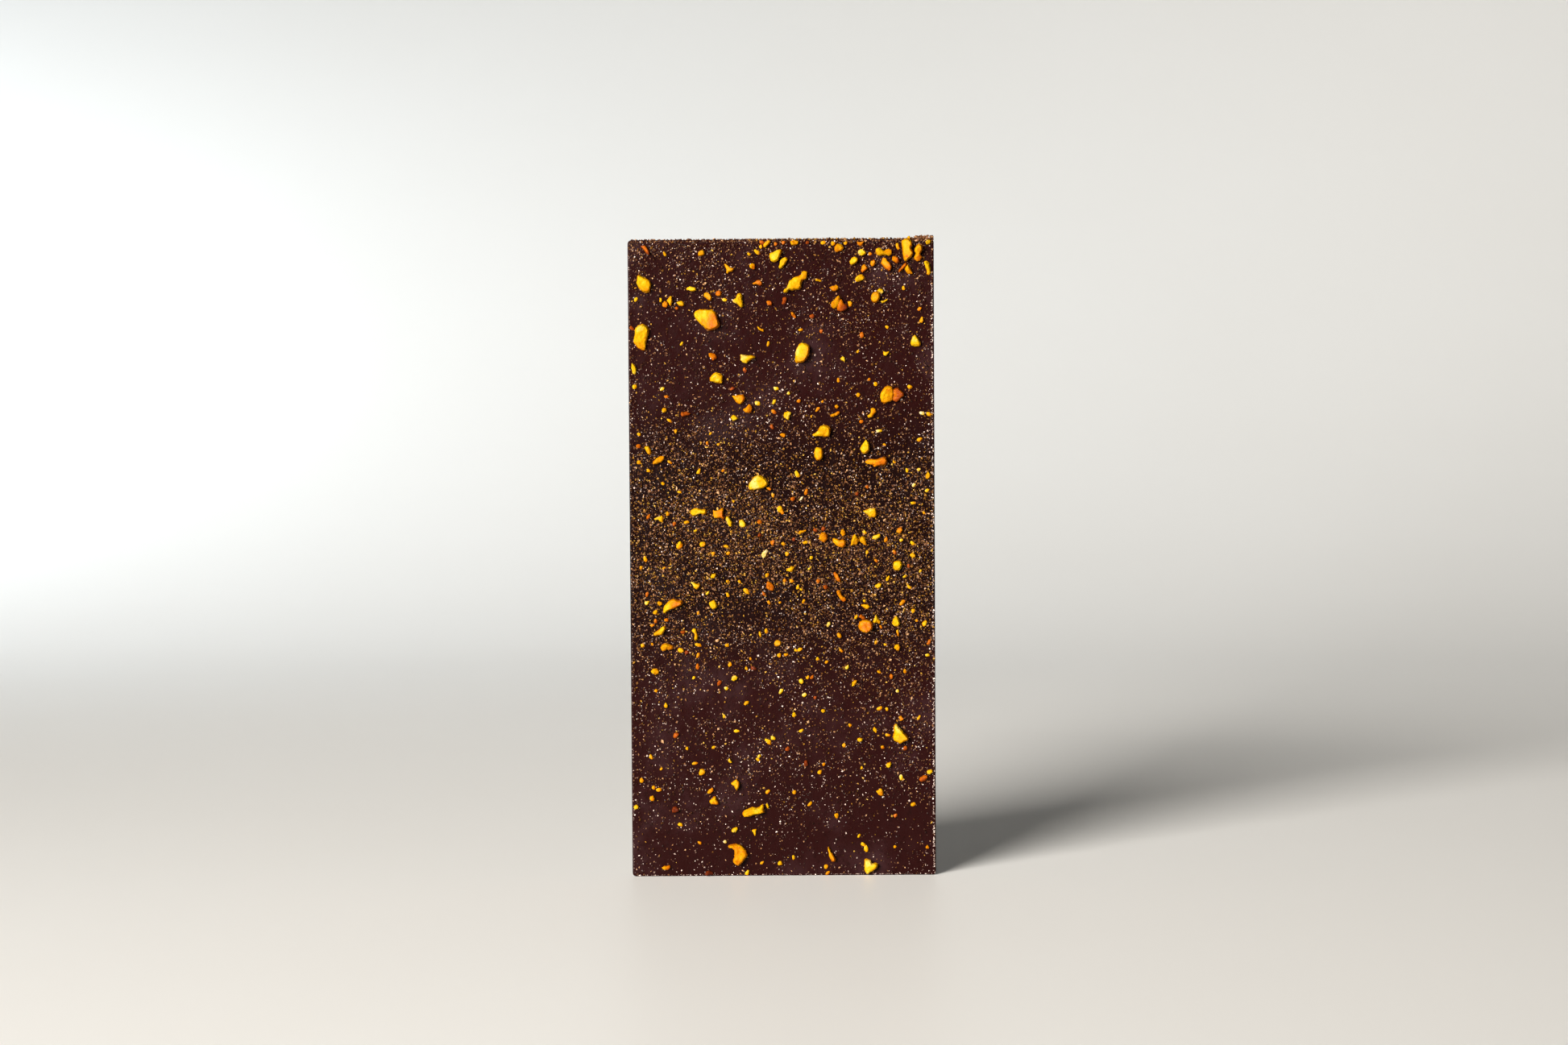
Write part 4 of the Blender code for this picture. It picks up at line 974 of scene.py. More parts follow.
def strew_pieces(name, rows, voxel):
    """The rows' pieces, each set into the face on its own outline, as one joined and dented mesh."""
    pieces = []
    for dark, shaded_dark, proud, outline in rows:
        piece, middle, reach, skin = raise_piece(name, outline, proud * PROUD_SHARE * MM, voxel)
        mark_sugar(piece.data, middle, reach, skin, proud * MM, dark, shaded_dark)
        covered_spots.append((middle[0] + BAR_WIDTH / 2, middle[1], reach))
        pieces.append(piece)
    joined = join_copies(name, pieces)
    cloud_dents(joined)
    bpy.ops.object.shade_smooth_by_angle(angle=SUGAR_SMOOTH_ANGLE)
    return joined


SUGAR_STOPS = (
    (0.0, (0.5, 0.36, 0.2)),
    (0.14, (0.48, 0.33, 0.07)),
    (0.24, (0.46, 0.265, 0.002)),
    (0.36, (0.44, 0.2, 0.0006)),
    (0.48, (0.4, 0.14, 0.0004)),
    (0.6, (0.33, 0.08, 0.0004)),
    (0.74, (0.22, 0.04, 0.002)),
    (0.88, (0.1, 0.014, 0.002)),
    (1.0, (0.035, 0.006, 0.003)),
)


def sugar_material(name, roughness, spread):
    """Set sugar: each piece's darkness with its painted shade, varied inside it by spread, and painted shade
    at its foot.
    """
    material, wiring, shader, place = new_material(name)
    caught = wiring.step(wiring.noise(place, 1.7 * MM), 0.34, 0.68, -0.5, 0.5)
    flecks = wiring.step(wiring.noise(place, 0.5 * MM, 2.0), 0.6, 0.72, 0.0, 0.14)
    # Painted shade low on each piece, where it meets the chocolate.
    foot_shade = wiring.step(wiring.stored("rise"), 0.1, 0.5, 0.26, 0.0)
    darkness = wiring.maths("MULTIPLY_ADD", caught, spread, wiring.stored("dark"))
    darkness = wiring.maths("ADD", darkness, wiring.maths("ADD", flecks, foot_shade))
    gloss = wiring.step(darkness, 0.3, 0.85, roughness, roughness * 0.75)
    pitted = wiring.add_group(grain, Place=place, Coarse_Size=0.7 * MM, Fine_Size=0.2 * MM, Fine_Share=0.5)
    add_bump(wiring, shader, pitted["Height"], 0.08 * MM)
    wiring.feed(
        shader,
        Base_Color=wiring.ramp(darkness, SUGAR_STOPS),
        Roughness=gloss,
        Subsurface_Weight=0.06,
        Subsurface_Radius=(1.0, 0.4, 0.02),
        Subsurface_Scale=0.3 * MM,
        Specular_IOR_Level=0.05,
    )
    return material


honeycomb_sugar = sugar_material("honeycomb_sugar", 0.5, 0.2)
dent_texture = cloud_texture("dents", DENT_SIZE)
pit_texture = cloud_texture("pits", PIT_SIZE)
# Where the dust has no room: (across, up, radius) of each piece, in metres from the bar's left edge and
# its foot.
covered_spots = []

for name, rows, voxel in (("honeycomb_lumps", LUMPS, LUMP_VOXEL), ("honeycomb_chips", CHIPS, CHIP_VOXEL)):
    pieces = strew_pieces(name, rows, voxel)
    pieces.data.materials.append(honeycomb_sugar)
    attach(pieces, "root")


# The beads
# Drops of the same sugar, and crumbs no longer than a grain of rice is wide, that came off as it was
# crushed. Each is set where it lies, as listed: across and up in millimetres, how wide, and how dark, as
# above.

BEADS = (
    (32.4, 156.9, 1.3, 0.34), (30.4, 156.3, 0.9, 0.34), (24.1, 145.0, 1.1, 0.22), (60.6, 156.2, 1.0, 0.56),
    (67.5, 158.0, 1.3, 0.4), (37.0, 158.9, 1.0, 0.66), (39.0, 159.2, 1.0, 0.66), (48.9, 159.1, 1.2, 0.34),
    (51.3, 158.9, 1.2, 0.34), (54.5, 159.0, 1.0, 0.36), (33.6, 159.2, 1.3, 0.7), (68.9, 147.6, 0.9, 0.4),
    (64.7, 138.0, 0.9, 0.4), (39.0, 144.2, 1.2, 0.88), (0.9, 138.1, 1.1, 0.7), (57.4, 131.9, 0.7, 0.4),
    (58.4, 136.0, 1.3, 0.66), (35.0, 134.0, 0.9, 0.34), (13.4, 134.1, 0.8, 0.3), (10.1, 114.9, 1.0, 0.36),
    (2.5, 111.5, 1.0, 0.4), (20.4, 111.6, 0.7, 0.4), (19.6, 109.2, 0.9, 0.58), (22.4, 108.9, 0.7, 0.4),
    (2.4, 104.5, 1.1, 0.4), (17.4, 102.1, 1.2, 0.36), (35.8, 113.2, 1.1, 0.66), (70.4, 123.0, 1.2, 0.4),
    (58.2, 114.4, 1.1, 0.58), (47.2, 117.5, 1.1, 0.4), (48.5, 119.4, 0.8, 0.4), (45.7, 115.7, 0.7, 0.36),
    (57.4, 121.1, 1.1, 0.4), (61.8, 123.8, 1.1, 0.36), (62.6, 112.0, 1.2, 0.16), (72.8, 109.8, 1.2, 0.44),
    (75.1, 116.2, 1.2, 0.4), (73.4, 116.4, 1.1, 0.12), (44.3, 96.8, 1.3, 0.58), (64.0, 108.5, 0.8, 0.4),
    (66.5, 104.2, 0.9, 0.4), (36.9, 122.8, 1.2, 0.16), (32.3, 119.1, 1.4, 0.18), (36.4, 119.5, 1.1, 0.2),
    (42.1, 101.3, 1.4, 0.3), (29.2, 127.4, 1.1, 0.74), (26.0, 122.8, 1.0, 0.8), (36.0, 96.0, 1.0, 0.44),
    (57.0, 96.3, 1.0, 0.82), (59.6, 98.0, 1.0, 0.7), (4.7, 90.8, 1.1, 0.58), (14.3, 89.4, 1.1, 0.36),
    (16.6, 87.3, 0.9, 0.36), (20.9, 81.5, 1.0, 0.4), (3.9, 80.2, 1.2, 0.44), (2.7, 77.9, 0.9, 0.4),
    (8.5, 77.9, 0.8, 0.4), (24.5, 71.0, 1.0, 0.4), (29.2, 72.0, 1.5, 0.34), (4.2, 71.3, 1.0, 0.58),
    (17.0, 66.6, 1.0, 0.4), (48.6, 87.5, 1.2, 0.84), (58.8, 86.7, 1.1, 0.3), (35.8, 84.2, 1.4, 0.6),
    (38.5, 83.8, 1.0, 0.4), (32.6, 86.0, 1.1, 0.88), (32.6, 89.3, 1.2, 0.6), (39.4, 81.3, 1.1, 0.4),
    (70.9, 83.8, 1.1, 0.34), (69.9, 78.1, 1.0, 0.68), (66.3, 81.6, 1.1, 0.58), (59.5, 81.6, 1.0, 0.4),
    (61.8, 79.4, 0.9, 0.56), (45.0, 77.6, 0.8, 0.3), (33.5, 71.3, 1.0, 0.6), (34.4, 76.0, 1.0, 0.44),
    (40.5, 74.5, 1.0, 0.5), (47.2, 74.4, 1.1, 0.58), (42.1, 73.0, 1.1, 0.3), (70.0, 72.8, 1.1, 0.36),
    (72.8, 76.8, 0.8, 0.3), (68.3, 68.9, 1.4, 0.56), (71.0, 66.8, 1.1, 0.4), (43.5, 69.3, 0.9, 0.4),
    (37.5, 69.0, 0.7, 0.4), (27.4, 74.4, 0.8, 0.4), (24.5, 74.5, 0.9, 0.4), (71.9, 64.3, 0.8, 0.5),
    (73.8, 91.5, 0.9, 0.4), (71.1, 93.9, 1.1, 0.3), (26.0, 94.6, 0.8, 0.4), (5.5, 63.5, 1.0, 0.44),
    (16.9, 55.9, 1.1, 0.4), (17.0, 58.5, 1.2, 0.36), (14.1, 56.6, 1.3, 0.86), (5.4, 58.7, 0.9, 0.44),
    (3.0, 58.4, 1.0, 0.4), (16.8, 53.0, 1.2, 0.6), (24.9, 53.5, 1.1, 0.4), (22.2, 48.9, 1.2, 0.76),
    (23.9, 47.5, 1.0, 0.16), (24.2, 58.4, 1.1, 0.4), (30.1, 54.9, 0.8, 0.44), (30.8, 52.5, 1.3, 0.88),
    (29.0, 52.5, 0.8, 0.4), (34.1, 61.9, 1.1, 0.36), (37.3, 55.8, 1.2, 0.4), (39.0, 55.9, 1.0, 0.4),
    (42.5, 57.2, 1.1, 0.36), (44.4, 50.2, 0.9, 0.4), (61.6, 58.9, 0.9, 0.4), (63.9, 58.3, 0.9, 0.4),
    (62.9, 62.7, 0.8, 0.6), (74.9, 58.8, 1.1, 0.58), (62.4, 51.4, 0.9, 0.4), (68.9, 51.5, 1.0, 0.4),
    (52.8, 56.9, 0.9, 0.4), (40.9, 40.7, 1.1, 0.34), (42.7, 36.7, 1.0, 0.36), (62.4, 42.2, 1.2, 0.36),
    (64.3, 42.0, 0.9, 0.4), (35.6, 34.9, 1.2, 0.32), (34.4, 34.0, 1.5, 0.34), (26.5, 36.7, 1.1, 0.34),
    (61.3, 36.7, 1.1, 0.36), (55.0, 38.0, 0.9, 0.4), (64.4, 35.5, 1.0, 0.4), (53.5, 32.9, 1.1, 0.36),
    (63.2, 32.4, 1.0, 0.4), (68.9, 32.1, 1.2, 0.76), (39.3, 32.1, 1.2, 0.8), (20.7, 32.6, 0.9, 0.4),
    (14.0, 32.4, 0.8, 0.4), (23.4, 40.4, 0.9, 0.34), (6.3, 47.0, 0.9, 0.4), (72.3, 39.8, 1.0, 0.4),
    (4.9, 30.3, 1.1, 0.34), (7.4, 27.3, 0.8, 0.4), (17.7, 26.4, 1.7, 0.32), (15.9, 28.6, 1.0, 0.34),
    (6.8, 22.0, 1.2, 0.34), (2.5, 24.4, 1.2, 0.4), (12.1, 13.1, 1.1, 0.36), (31.8, 29.4, 0.9, 0.4),
    (34.2, 21.3, 1.1, 0.36), (17.0, 8.5, 0.8, 0.4), (23.4, 8.7, 0.9, 0.12), (28.9, 0.8, 1.2, 0.34),
    (32.6, 3.3, 0.9, 0.4), (37.2, 3.1, 1.2, 0.36), (40.6, 4.6, 0.9, 0.4), (48.8, 2.2, 1.2, 0.4),
    (58.9, 6.8, 1.4, 0.3), (58.3, 7.8, 1.2, 0.4), (66.2, 7.2, 0.8, 0.4), (51.5, 15.2, 1.2, 0.34),
    (44.8, 18.2, 1.1, 0.36), (70.9, 17.9, 1.2, 0.4), (48.3, 28.2, 0.9, 0.4), (47.3, 26.2, 1.2, 0.36),
    (43.9, 28.4, 1.4, 0.84), (57.9, 27.2, 0.7, 0.4), (40.9, 21.2, 1.1, 0.36), (67.8, 24.8, 1.2, 0.22),
    (70.3, 160.1, 0.9, 0.4), (33.3, 158.2, 1.0, 0.34), (2.0, 145.2, 1.0, 0.3), (41.0, 95.1, 1.2, 0.7),
    (42.9, 72.3, 0.8, 0.36), (38.8, 74.6, 1.0, 0.6), (58.8, 69.3, 0.9, 0.3), (8.4, 99.1, 1.0, 0.3),
    (12.5, 97.0, 0.9, 0.34), (71.3, 98.4, 1.1, 0.12), (74.6, 97.0, 1.0, 0.26), (9.5, 91.5, 1.0, 0.36),
    (11.1, 89.0, 1.1, 0.66), (24.7, 81.5, 1.0, 0.52), (64.2, 84.7, 1.2, 0.55), (68.1, 84.6, 1.0, 0.3),
    (46.5, 87.2, 1.0, 0.72), (45.5, 80.3, 0.9, 0.34), (41.1, 84.9, 1.1, 0.85), (69.0, 75.5, 1.0, 0.36),
    (6.3, 64.6, 1.0, 0.55), (9.0, 64.9, 1.0, 0.6), (34.8, 69.0, 0.9, 0.4), (37.7, 46.7, 1.1, 0.26),
    (15.8, 50.2, 0.8, 0.34), (46.3, 45.0, 1.0, 0.85), (43.5, 45.8, 1.1, 0.08), (67.0, 46.6, 0.9, 0.16),
    (41.5, 57.0, 0.8, 0.4), (46.9, 54.8, 0.9, 0.3), (49.2, 54.0, 0.9, 0.5), (74.5, 55.6, 0.9, 0.22),
    (32.1, 30.3, 0.9, 0.3), (5.5, 22.5, 1.0, 0.46), (49.2, 0.6, 1.0, 0.45), (66.3, 15.1, 1.0, 0.7),
    (57.2, 10.0, 0.8, 0.3), (36.3, 117.0, 1.2, 0.6), (2.4, 108.5, 1.2, 0.7), (10.1, 104.5, 1.0, 0.4),
    (4.8, 102.4, 0.9, 0.36), (23.5, 102.3, 0.9, 0.56), (69.6, 102.1, 0.9, 0.34), (72.5, 102.2, 0.8, 0.2),
    (60.2, 124.9, 0.9, 0.45), (52.5, 124.7, 1.0, 0.5), (40.0, 121.6, 0.8, 0.2), (42.6, 119.6, 1.0, 0.6),
    (8.4, 122.9, 1.0, 0.12), (1.5, 123.4, 1.2, 0.24), (9.5, 120.9, 0.9, 0.5), (72.9, 142.4, 1.1, 0.5),
    (46.0, 140.8, 1.2, 0.8), (39.2, 145.0, 1.3, 0.85), (48.3, 137.0, 1.1, 0.62), (43.2, 137.4, 0.9, 0.4),
)

BEAD_SEED = 7
BEAD_SUNK_SHARE = 0.25
BEAD_PROUD_SHARE = 0.6
# How many times its written width a bead is long, how that narrows it, and how far its flat breaks tip.
BEAD_LONGER = (1.0, 1.5)
BEAD_NARROWING = 0.6
BEAD_TIP = 0.5
# How much painted light lightens it at its upper left and painted shade darkens it at its lower right.
BEAD_PAINTED_LIGHT = 0.04
BEAD_PAINTED_SHADE = 0.14
bead_draw = np.random.default_rng(BEAD_SEED)


def break_off(place, direction):
    """Breaks off everything beyond a flat plane."""
    bpy.ops.mesh.select_all(action="SELECT")
    bpy.ops.mesh.bisect(plane_co=place, plane_no=direction, use_fill=True, clear_outer=True)


def bead_form():
    """A crushed bead, one unit wide: a ball with a few flat breaks, of few faces because it's repeated."""
    deselect_all()
    bpy.ops.mesh.primitive_ico_sphere_add(subdivisions=2, radius=0.5, location=(0, 0, 0))
    form = bpy.context.object
    bpy.ops.object.mode_set(mode="EDIT")
    break_off((0, 0, 0.36), (0.2, 0.1, 1))
    break_off((0.36, 0.1, 0), (1, 0.3, 0.2))
    break_off((-0.2, 0.34, 0), (-0.5, 1, 0.25))
    break_off((-0.1, -0.4, 0), (-0.3, -1, 0.1))
    bpy.ops.object.mode_set(mode="OBJECT")
    return form


def set_bead(mesh, across, up, size, dark):
    """Sets a bead's mesh into the face, longer one way, turned and tipped by chance."""
    longer = bead_draw.uniform(*BEAD_LONGER)
    length = size * longer * MM
    width = size / longer**BEAD_NARROWING * MM
    deep = (BEAD_SUNK_SHARE + BEAD_PROUD_SHARE) * width
    spin = Matrix.Rotation(bead_draw.uniform(0, math.tau), 4, "Z")
    tip_back = Matrix.Rotation(bead_draw.uniform(-BEAD_TIP, BEAD_TIP), 4, "X")
    tip_aside = Matrix.Rotation(bead_draw.uniform(-BEAD_TIP, BEAD_TIP), 4, "Y")
    stretch = Matrix.Diagonal((length, width, deep, 1))
    upright = Matrix.Rotation(math.radians(90), 4, "X")
    x = across * MM - BAR_WIDTH / 2
    skin = face_at(x, up * MM)
    middle = Vector((x, skin - deep / 2 + BEAD_SUNK_SHARE * width, up * MM))
    mesh.transform(Matrix.Translation(middle) @ upright @ spin @ stretch @ (tip_back @ tip_aside))
    proud = BEAD_PROUD_SHARE * width
    lit_dark = dark - BEAD_PAINTED_LIGHT
    mark_sugar(mesh, (middle.x, middle.z), width / 2, skin, proud, lit_dark, dark + BEAD_PAINTED_SHADE)
    covered_spots.append((across * MM, up * MM, width / 2))


form = bead_form()
beads = []
for across, up, size, dark in BEADS:
    mesh = form.data.copy()
    set_bead(mesh, across, up, size, dark)
    bead = bpy.data.objects.new("honeycomb_beads", mesh)
    bpy.context.scene.collection.objects.link(bead)
    beads.append(bead)
bpy.data.objects.remove(form, do_unlink=True)
beads = join_copies("honeycomb_beads", beads)
cloud_dents(beads)
bpy.ops.object.shade_smooth_by_angle(angle=SUGAR_SMOOTH_ANGLE)
beads.data.materials.append(sugar_material("honeycomb_bead_sugar", 0.48, 0.16))
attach(beads, "root")


# The dust
# Sugar crystals, cocoa crumbs and powdered honeycomb that settled between the pieces, thickest across the
# middle of the bar and along its top edge, with bare patches where it was blown aside. Each grain is a
# broken crystal of its own, about half a millimetre wide, and has hardly sunk in.

# (height up the bar in millimetres, share of the fullest cover there)
COVER_BY_HEIGHT = (
    (0, 0.2), (8, 0.2), (18, 0.3), (30, 0.42), (42, 0.42), (50, 0.55), (62, 0.8), (74, 0.96), (84, 1.0),
    (94, 0.96), (104, 0.78), (114, 0.62), (121, 0.42), (130, 0.4), (142, 0.46), (152, 0.5), (158, 0.72),
    (160, 0.9),
)
COVER_MOST = 1.3
# (across, up, half width, half height in millimetres, change in cover at the middle): bare patches where
# the change is below 0, drifts where it is above
DRIFTS = (
    (14, 138, 8, 4.5, -0.5), (29, 134, 6, 6, -0.45), (16, 122, 10, 3, -0.55), (55, 123, 6, 2.5, -0.5),
    (41, 107, 6, 3, -0.4), (68, 111, 7, 6, -0.45), (29, 66, 7, 4, -0.45), (41, 53, 6, 3, -0.45),
    (14, 41, 6, 6, -0.5), (30, 43, 7, 6, -0.5), (62, 12, 14, 8, -0.35), (12, 8, 12, 7, -0.35),
    (63, 139, 14, 6, 0.5), (50, 85, 26, 7, 0.3), (68, 38, 9, 12, 0.4), (70, 62, 7, 14, 0.25),
    (6, 104, 6, 10, 0.25), (20, 101, 10, 5, 0.2), (4, 152, 5, 8, 0.3), (68, 154, 9, 6, 0.5),
)
# How wide the clumps are, how low their noise is where the face is bare, how steeply they thicken from
# there and how thick at most.
CLUMP_STEP = 2.6 * MM
CLUMP_FLOOR = 0.28
CLUMP_GAIN = 3.2
CLUMP_MOST = 2.2
# The middle band, where powdered honeycomb lies thickest, in millimetres up the bar.
BAND_MIDDLE = 84
BAND_REACH = 24
# How much of a larger piece's radius is kept clear of dust, and how wide a strip along the bar's edges.
CLEAR_SHARE = 0.6
DUST_MARGIN = 0.25 * MM
# How thick a grain is as it lies, as a share of its width, what share of that has sunk in, the shares of its
# three sides, how unevenly its corners stand out, and how it lies a little flatter on the face.
GRAIN_THICKNESS = 0.75
GRAIN_SUNK_SHARE = 0.1
GRAIN_SIDES = (1.0, 0.8, 0.62)
GRAIN_UNEVEN = (0.5, 1.35)
GRAIN_FLATTER = (1, 0.95, 1)
DUST_SEED = 3
dust_draw = np.random.default_rng(DUST_SEED)

# A grain has eight faces and a crumb twenty: (corners, triangles).
GRAIN = (
    np.array(((1, 0, 0), (-1, 0, 0), (0, 1, 0), (0, -1, 0), (0, 0, 1), (0, 0, -1)), float),
    np.array(((0, 2, 4), (2, 1, 4), (1, 3, 4), (3, 0, 4), (2, 0, 5), (1, 2, 5), (3, 1, 5), (0, 3, 5))),
)
deselect_all()
bpy.ops.mesh.primitive_ico_sphere_add(subdivisions=1, radius=1.0, location=(0, 0, 0))
crumb_form = bpy.context.object
CRUMB = (
    np.array([tuple(corner.co) for corner in crumb_form.data.vertices]),
    np.array([tuple(face.vertices) for face in crumb_form.data.polygons]),
)
bpy.data.objects.remove(crumb_form, do_unlink=True)


def clumps(across, up, step):
    """Smooth noise from 0 to 1 over the face, its lumps about a step apart."""
    columns = int(BAR_WIDTH / step) + 3
    rows = int(BAR_HEIGHT / step) + 3
    heights = dust_draw.random((columns, rows))
    x = across / step
    z = up / step
    column = np.clip(x.astype(int), 0, columns - 2)
    row = np.clip(z.astype(int), 0, rows - 2)
    ease_x = (x - column) ** 2 * (3 - 2 * (x - column))
    ease_z = (z - row) ** 2 * (3 - 2 * (z - row))
    low = heights[column, row] * (1 - ease_x) + heights[column + 1, row] * ease_x
    high = heights[column, row + 1] * (1 - ease_x) + heights[column + 1, row + 1] * ease_x
    return low * (1 - ease_z) + high * ease_z


def clumped(across, up, share):
    """1 on average where share is 0, and bare and crowded by turns where it is 1."""
    lumps = clumps(across, up, CLUMP_STEP) * 0.6 + clumps(across, up, CLUMP_STEP * 3) * 0.4
    return (1 - share) + share * np.clip((lumps - CLUMP_FLOOR) * CLUMP_GAIN, 0, CLUMP_MOST)


def cover(across, up):
    """How thickly dust lies at each place, from 0 for bare to 1 for the fullest."""
    levels, shares = zip(*COVER_BY_HEIGHT)
    thick = np.interp(up / MM, levels, shares)
    for middle, level, half_width, half_height, change in DRIFTS:
        off = ((across / MM - middle) / half_width) ** 2 + ((up / MM - level) / half_height) ** 2
        thick = thick * (1 + change * np.exp(-off))
    return np.clip(thick, 0, COVER_MOST)


def in_band(up):
    """How far a place is in the middle band, where powdered honeycomb lies thickest."""
    return np.exp(-(((up / MM - BAND_MIDDLE) / BAND_REACH) ** 2))


def clear_of_pieces(across, up):
    """True where a grain wouldn't lie inside one of the larger pieces."""
    clear = np.ones(len(across), bool)
    for middle, level, reach in covered_spots:
        clear &= np.hypot(across - middle, up - level) > CLEAR_SHARE * reach
    return clear


def strewn_places(count_per_mm2, weight):
    """(across, up) of the grains that an even scatter leaves once weight has thinned it."""
    tries = int(BAR_WIDTH * BAR_HEIGHT / MM**2 * count_per_mm2)
    across = dust_draw.uniform(DUST_MARGIN, BAR_WIDTH - DUST_MARGIN, tries)
    up = dust_draw.uniform(DUST_MARGIN, BAR_HEIGHT - DUST_MARGIN, tries)
    kept = dust_draw.random(tries) < weight(across, up)
    kept &= clear_of_pieces(across, up)
    return across[kept], up[kept]


def seat_on_face(across, up, widths, sunk_share):
    """Middles of grains that lie on the strewn face, sunk in by a share of how thick they are."""
    skins = np.array([face_at(x - BAR_WIDTH / 2, z) for x, z in zip(across, up)])
    return np.stack((across - BAR_WIDTH / 2, skins - widths * (0.5 - sunk_share) * GRAIN_THICKNESS, up), 1)


def add_grains(name, middles, widths, brightness, shape, material):
    """One joined mesh of broken crystals at the middles, each turned by chance, its brightness 0 to 1."""
    corners, triangles = shape
    count = len(middles)
    spin = dust_draw.normal(size=(count, 4))
    w, x, y, z = (spin / np.linalg.norm(spin, axis=1, keepdims=True)).T
    turn = np.stack((
        1 - 2 * (y * y + z * z), 2 * (x * y - z * w), 2 * (x * z + y * w),
        2 * (x * y + z * w), 1 - 2 * (x * x + z * z), 2 * (y * z - x * w),
        2 * (x * z - y * w), 2 * (y * z + x * w), 1 - 2 * (x * x + y * y),
    ), 1).reshape(count, 3, 3)
    uneven = dust_draw.uniform(*GRAIN_UNEVEN, (count, len(corners), 1)) * corners * np.array(GRAIN_SIDES)
    turned = np.einsum("nij,nkj->nki", turn, uneven)
    points = turned * np.array(GRAIN_FLATTER) * widths[:, None, None] / 2
    points = (points + middles[:, None, :]).reshape(-1, 3)
    # No grain sticks out of the box that the solids fill.
    points = np.clip(points, tuple(cad_low), tuple(cad_high))
    faces = (triangles[None] + len(corners) * np.arange(count)[:, None, None]).reshape(-1, 3)
    mesh = bpy.data.meshes.new(name)
    mesh.from_pydata(points.tolist(), [], faces.tolist())
    mark_points(mesh, "bright", np.repeat(brightness, len(corners)))
    mesh.materials.append(material)
    grains = bpy.data.objects.new(name, mesh)
    bpy.context.scene.collection.objects.link(grains)
    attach(grains, "root")


def dust_material(name, stops, roughness, specular):
    """Dry grains, each one's colour from its own brightness."""
    material, wiring, shader, place = new_material(name)
    mottle = wiring.step(wiring.noise(place, 0.5 * MM, 1.0), 0.3, 0.7, -0.08, 0.08)
    colour = wiring.ramp(wiring.maths("ADD", wiring.stored("bright"), mottle), stops)
    wiring.feed(shader, Base_Color=colour, Roughness=roughness, Specular_IOR_Level=specular)
    return material


sugar_dust = dust_material(
    "sugar_crystals",
    (
        (0.0, (0.035, 0.015, 0.011)),
        (0.4, (0.1, 0.048, 0.034)),
        (0.75, (0.44, 0.31, 0.25)),
        (1.0, (0.78, 0.64, 0.55)),
    ),
    roughness=0.4,
    specular=0.3,
)
brown_dust = dust_material(
    "brown_sugar_crystals",
    (
        (0.0, (0.016, 0.006, 0.004)),
        (0.45, (0.045, 0.013, 0.0045)),
        (0.8, (0.2, 0.085, 0.034)),
        (1.0, (0.48, 0.27, 0.13)),
    ),
    roughness=0.45,
    specular=0.15,
)
golden_dust = dust_material(
    "honeycomb_powder",
    (
        (0.0, (0.04, 0.011, 0.002)),
        (0.45, (0.11, 0.04, 0.006)),
        (0.75, (0.29, 0.13, 0.012)),
        (1.0, (0.5, 0.3, 0.05)),
    ),
    roughness=0.4,
    specular=0.2,
)


def add_strewn_grains(name, count_per_mm2, weight, usual, spread, largest, shape, material, slot):
    """Grains over the whole face, their widths spread about the usual one, in millimetres."""
    across, up = strewn_places(count_per_mm2, weight)
    widths = np.minimum(usual * np.exp(dust_draw.normal(0, spread, len(across))), largest) * MM
    brightness = dust_draw.beta(1.2, 1.6, len(across))
    middles = seat_on_face(across, up, widths, GRAIN_SUNK_SHARE)
    add_grains(name, middles, widths, brightness, shape, material)


# Name, how many to the square millimetre, share kept at a place, usual width, its spread and the largest in
# millimetres, form, material, slot.
STREWN_GRAINS = (
    ("sugar_grains", 3.0,
     lambda across, up: 0.6 * cover(across, up) ** 0.8 * clumped(across, up, 0.85) * (1 - 0.5 * in_band(up)),
     0.4, 0.3, 0.7, GRAIN, sugar_dust, "cocoa_dust"),
    ("brown_sugar_grains", 3.6,
     lambda across, up: 0.8 * cover(across, up) ** 1.4 * clumped(across, up, 0.7),
     0.48, 0.28, 0.9, GRAIN, brown_dust, "cocoa_dust"),
    ("brown_sugar_crumbs", 2.6,
     lambda across, up: 0.8 * cover(across, up) ** 1.6 * clumped(across, up, 0.6),
     0.52, 0.26, 0.95, GRAIN, brown_dust, "cocoa_dust"),
    ("honeycomb_grains", 2.4,
     lambda across, up: cover(across, up) * clumped(across, up, 0.6) * (0.14 + 0.95 * in_band(up)),
     0.46, 0.3, 0.9, GRAIN, golden_dust, "honeycomb"),
    ("honeycomb_crumbs", 0.3,
     lambda across, up: cover(across, up) * clumped(across, up, 0.5) * (0.25 + 0.9 * in_band(up)),
     0.62, 0.22, 1.0, CRUMB, golden_dust, "honeycomb"),
)
for row in STREWN_GRAINS:
    add_strewn_grains(*row)


# The crumbs on the rim
# Where the mould's open edge was scraped level, crushed sugar and cocoa stuck to the rim: a pale line of it
# down the right side, thin ones down the left and along the foot, a rough row along the top, and a brown
# crumbly lump over the top right. The pale lines down the sides and along the foot also stand in for light
# caught on the rim's edges, as painted highlight.

RIM_SUNK_SHARE = 0.25
RIM_SPREAD = 0.28
RIM_BRIGHTNESS_SPREAD = 0.2
# How far behind the strewn face crumbs lie on the bar's top edge, in millimetres.
TOP_SEAT = 0.9


def rim_crumbs(count, across, up, usual, depth):
    """(middles, widths) of count crumbs, within the ranges across, up and deep behind the face."""
    widths = np.minimum(usual * np.exp(dust_draw.normal(0, RIM_SPREAD, count)), usual * 2) * MM
    x = dust_draw.uniform(*across, count) * MM
    z = dust_draw.uniform(*up, count) * MM
    y = dust_draw.uniform(*depth, count) * MM
    middles = seat_on_face(x, z, widths, RIM_SUNK_SHARE)
    middles[:, 1] += y
    return middles, widths


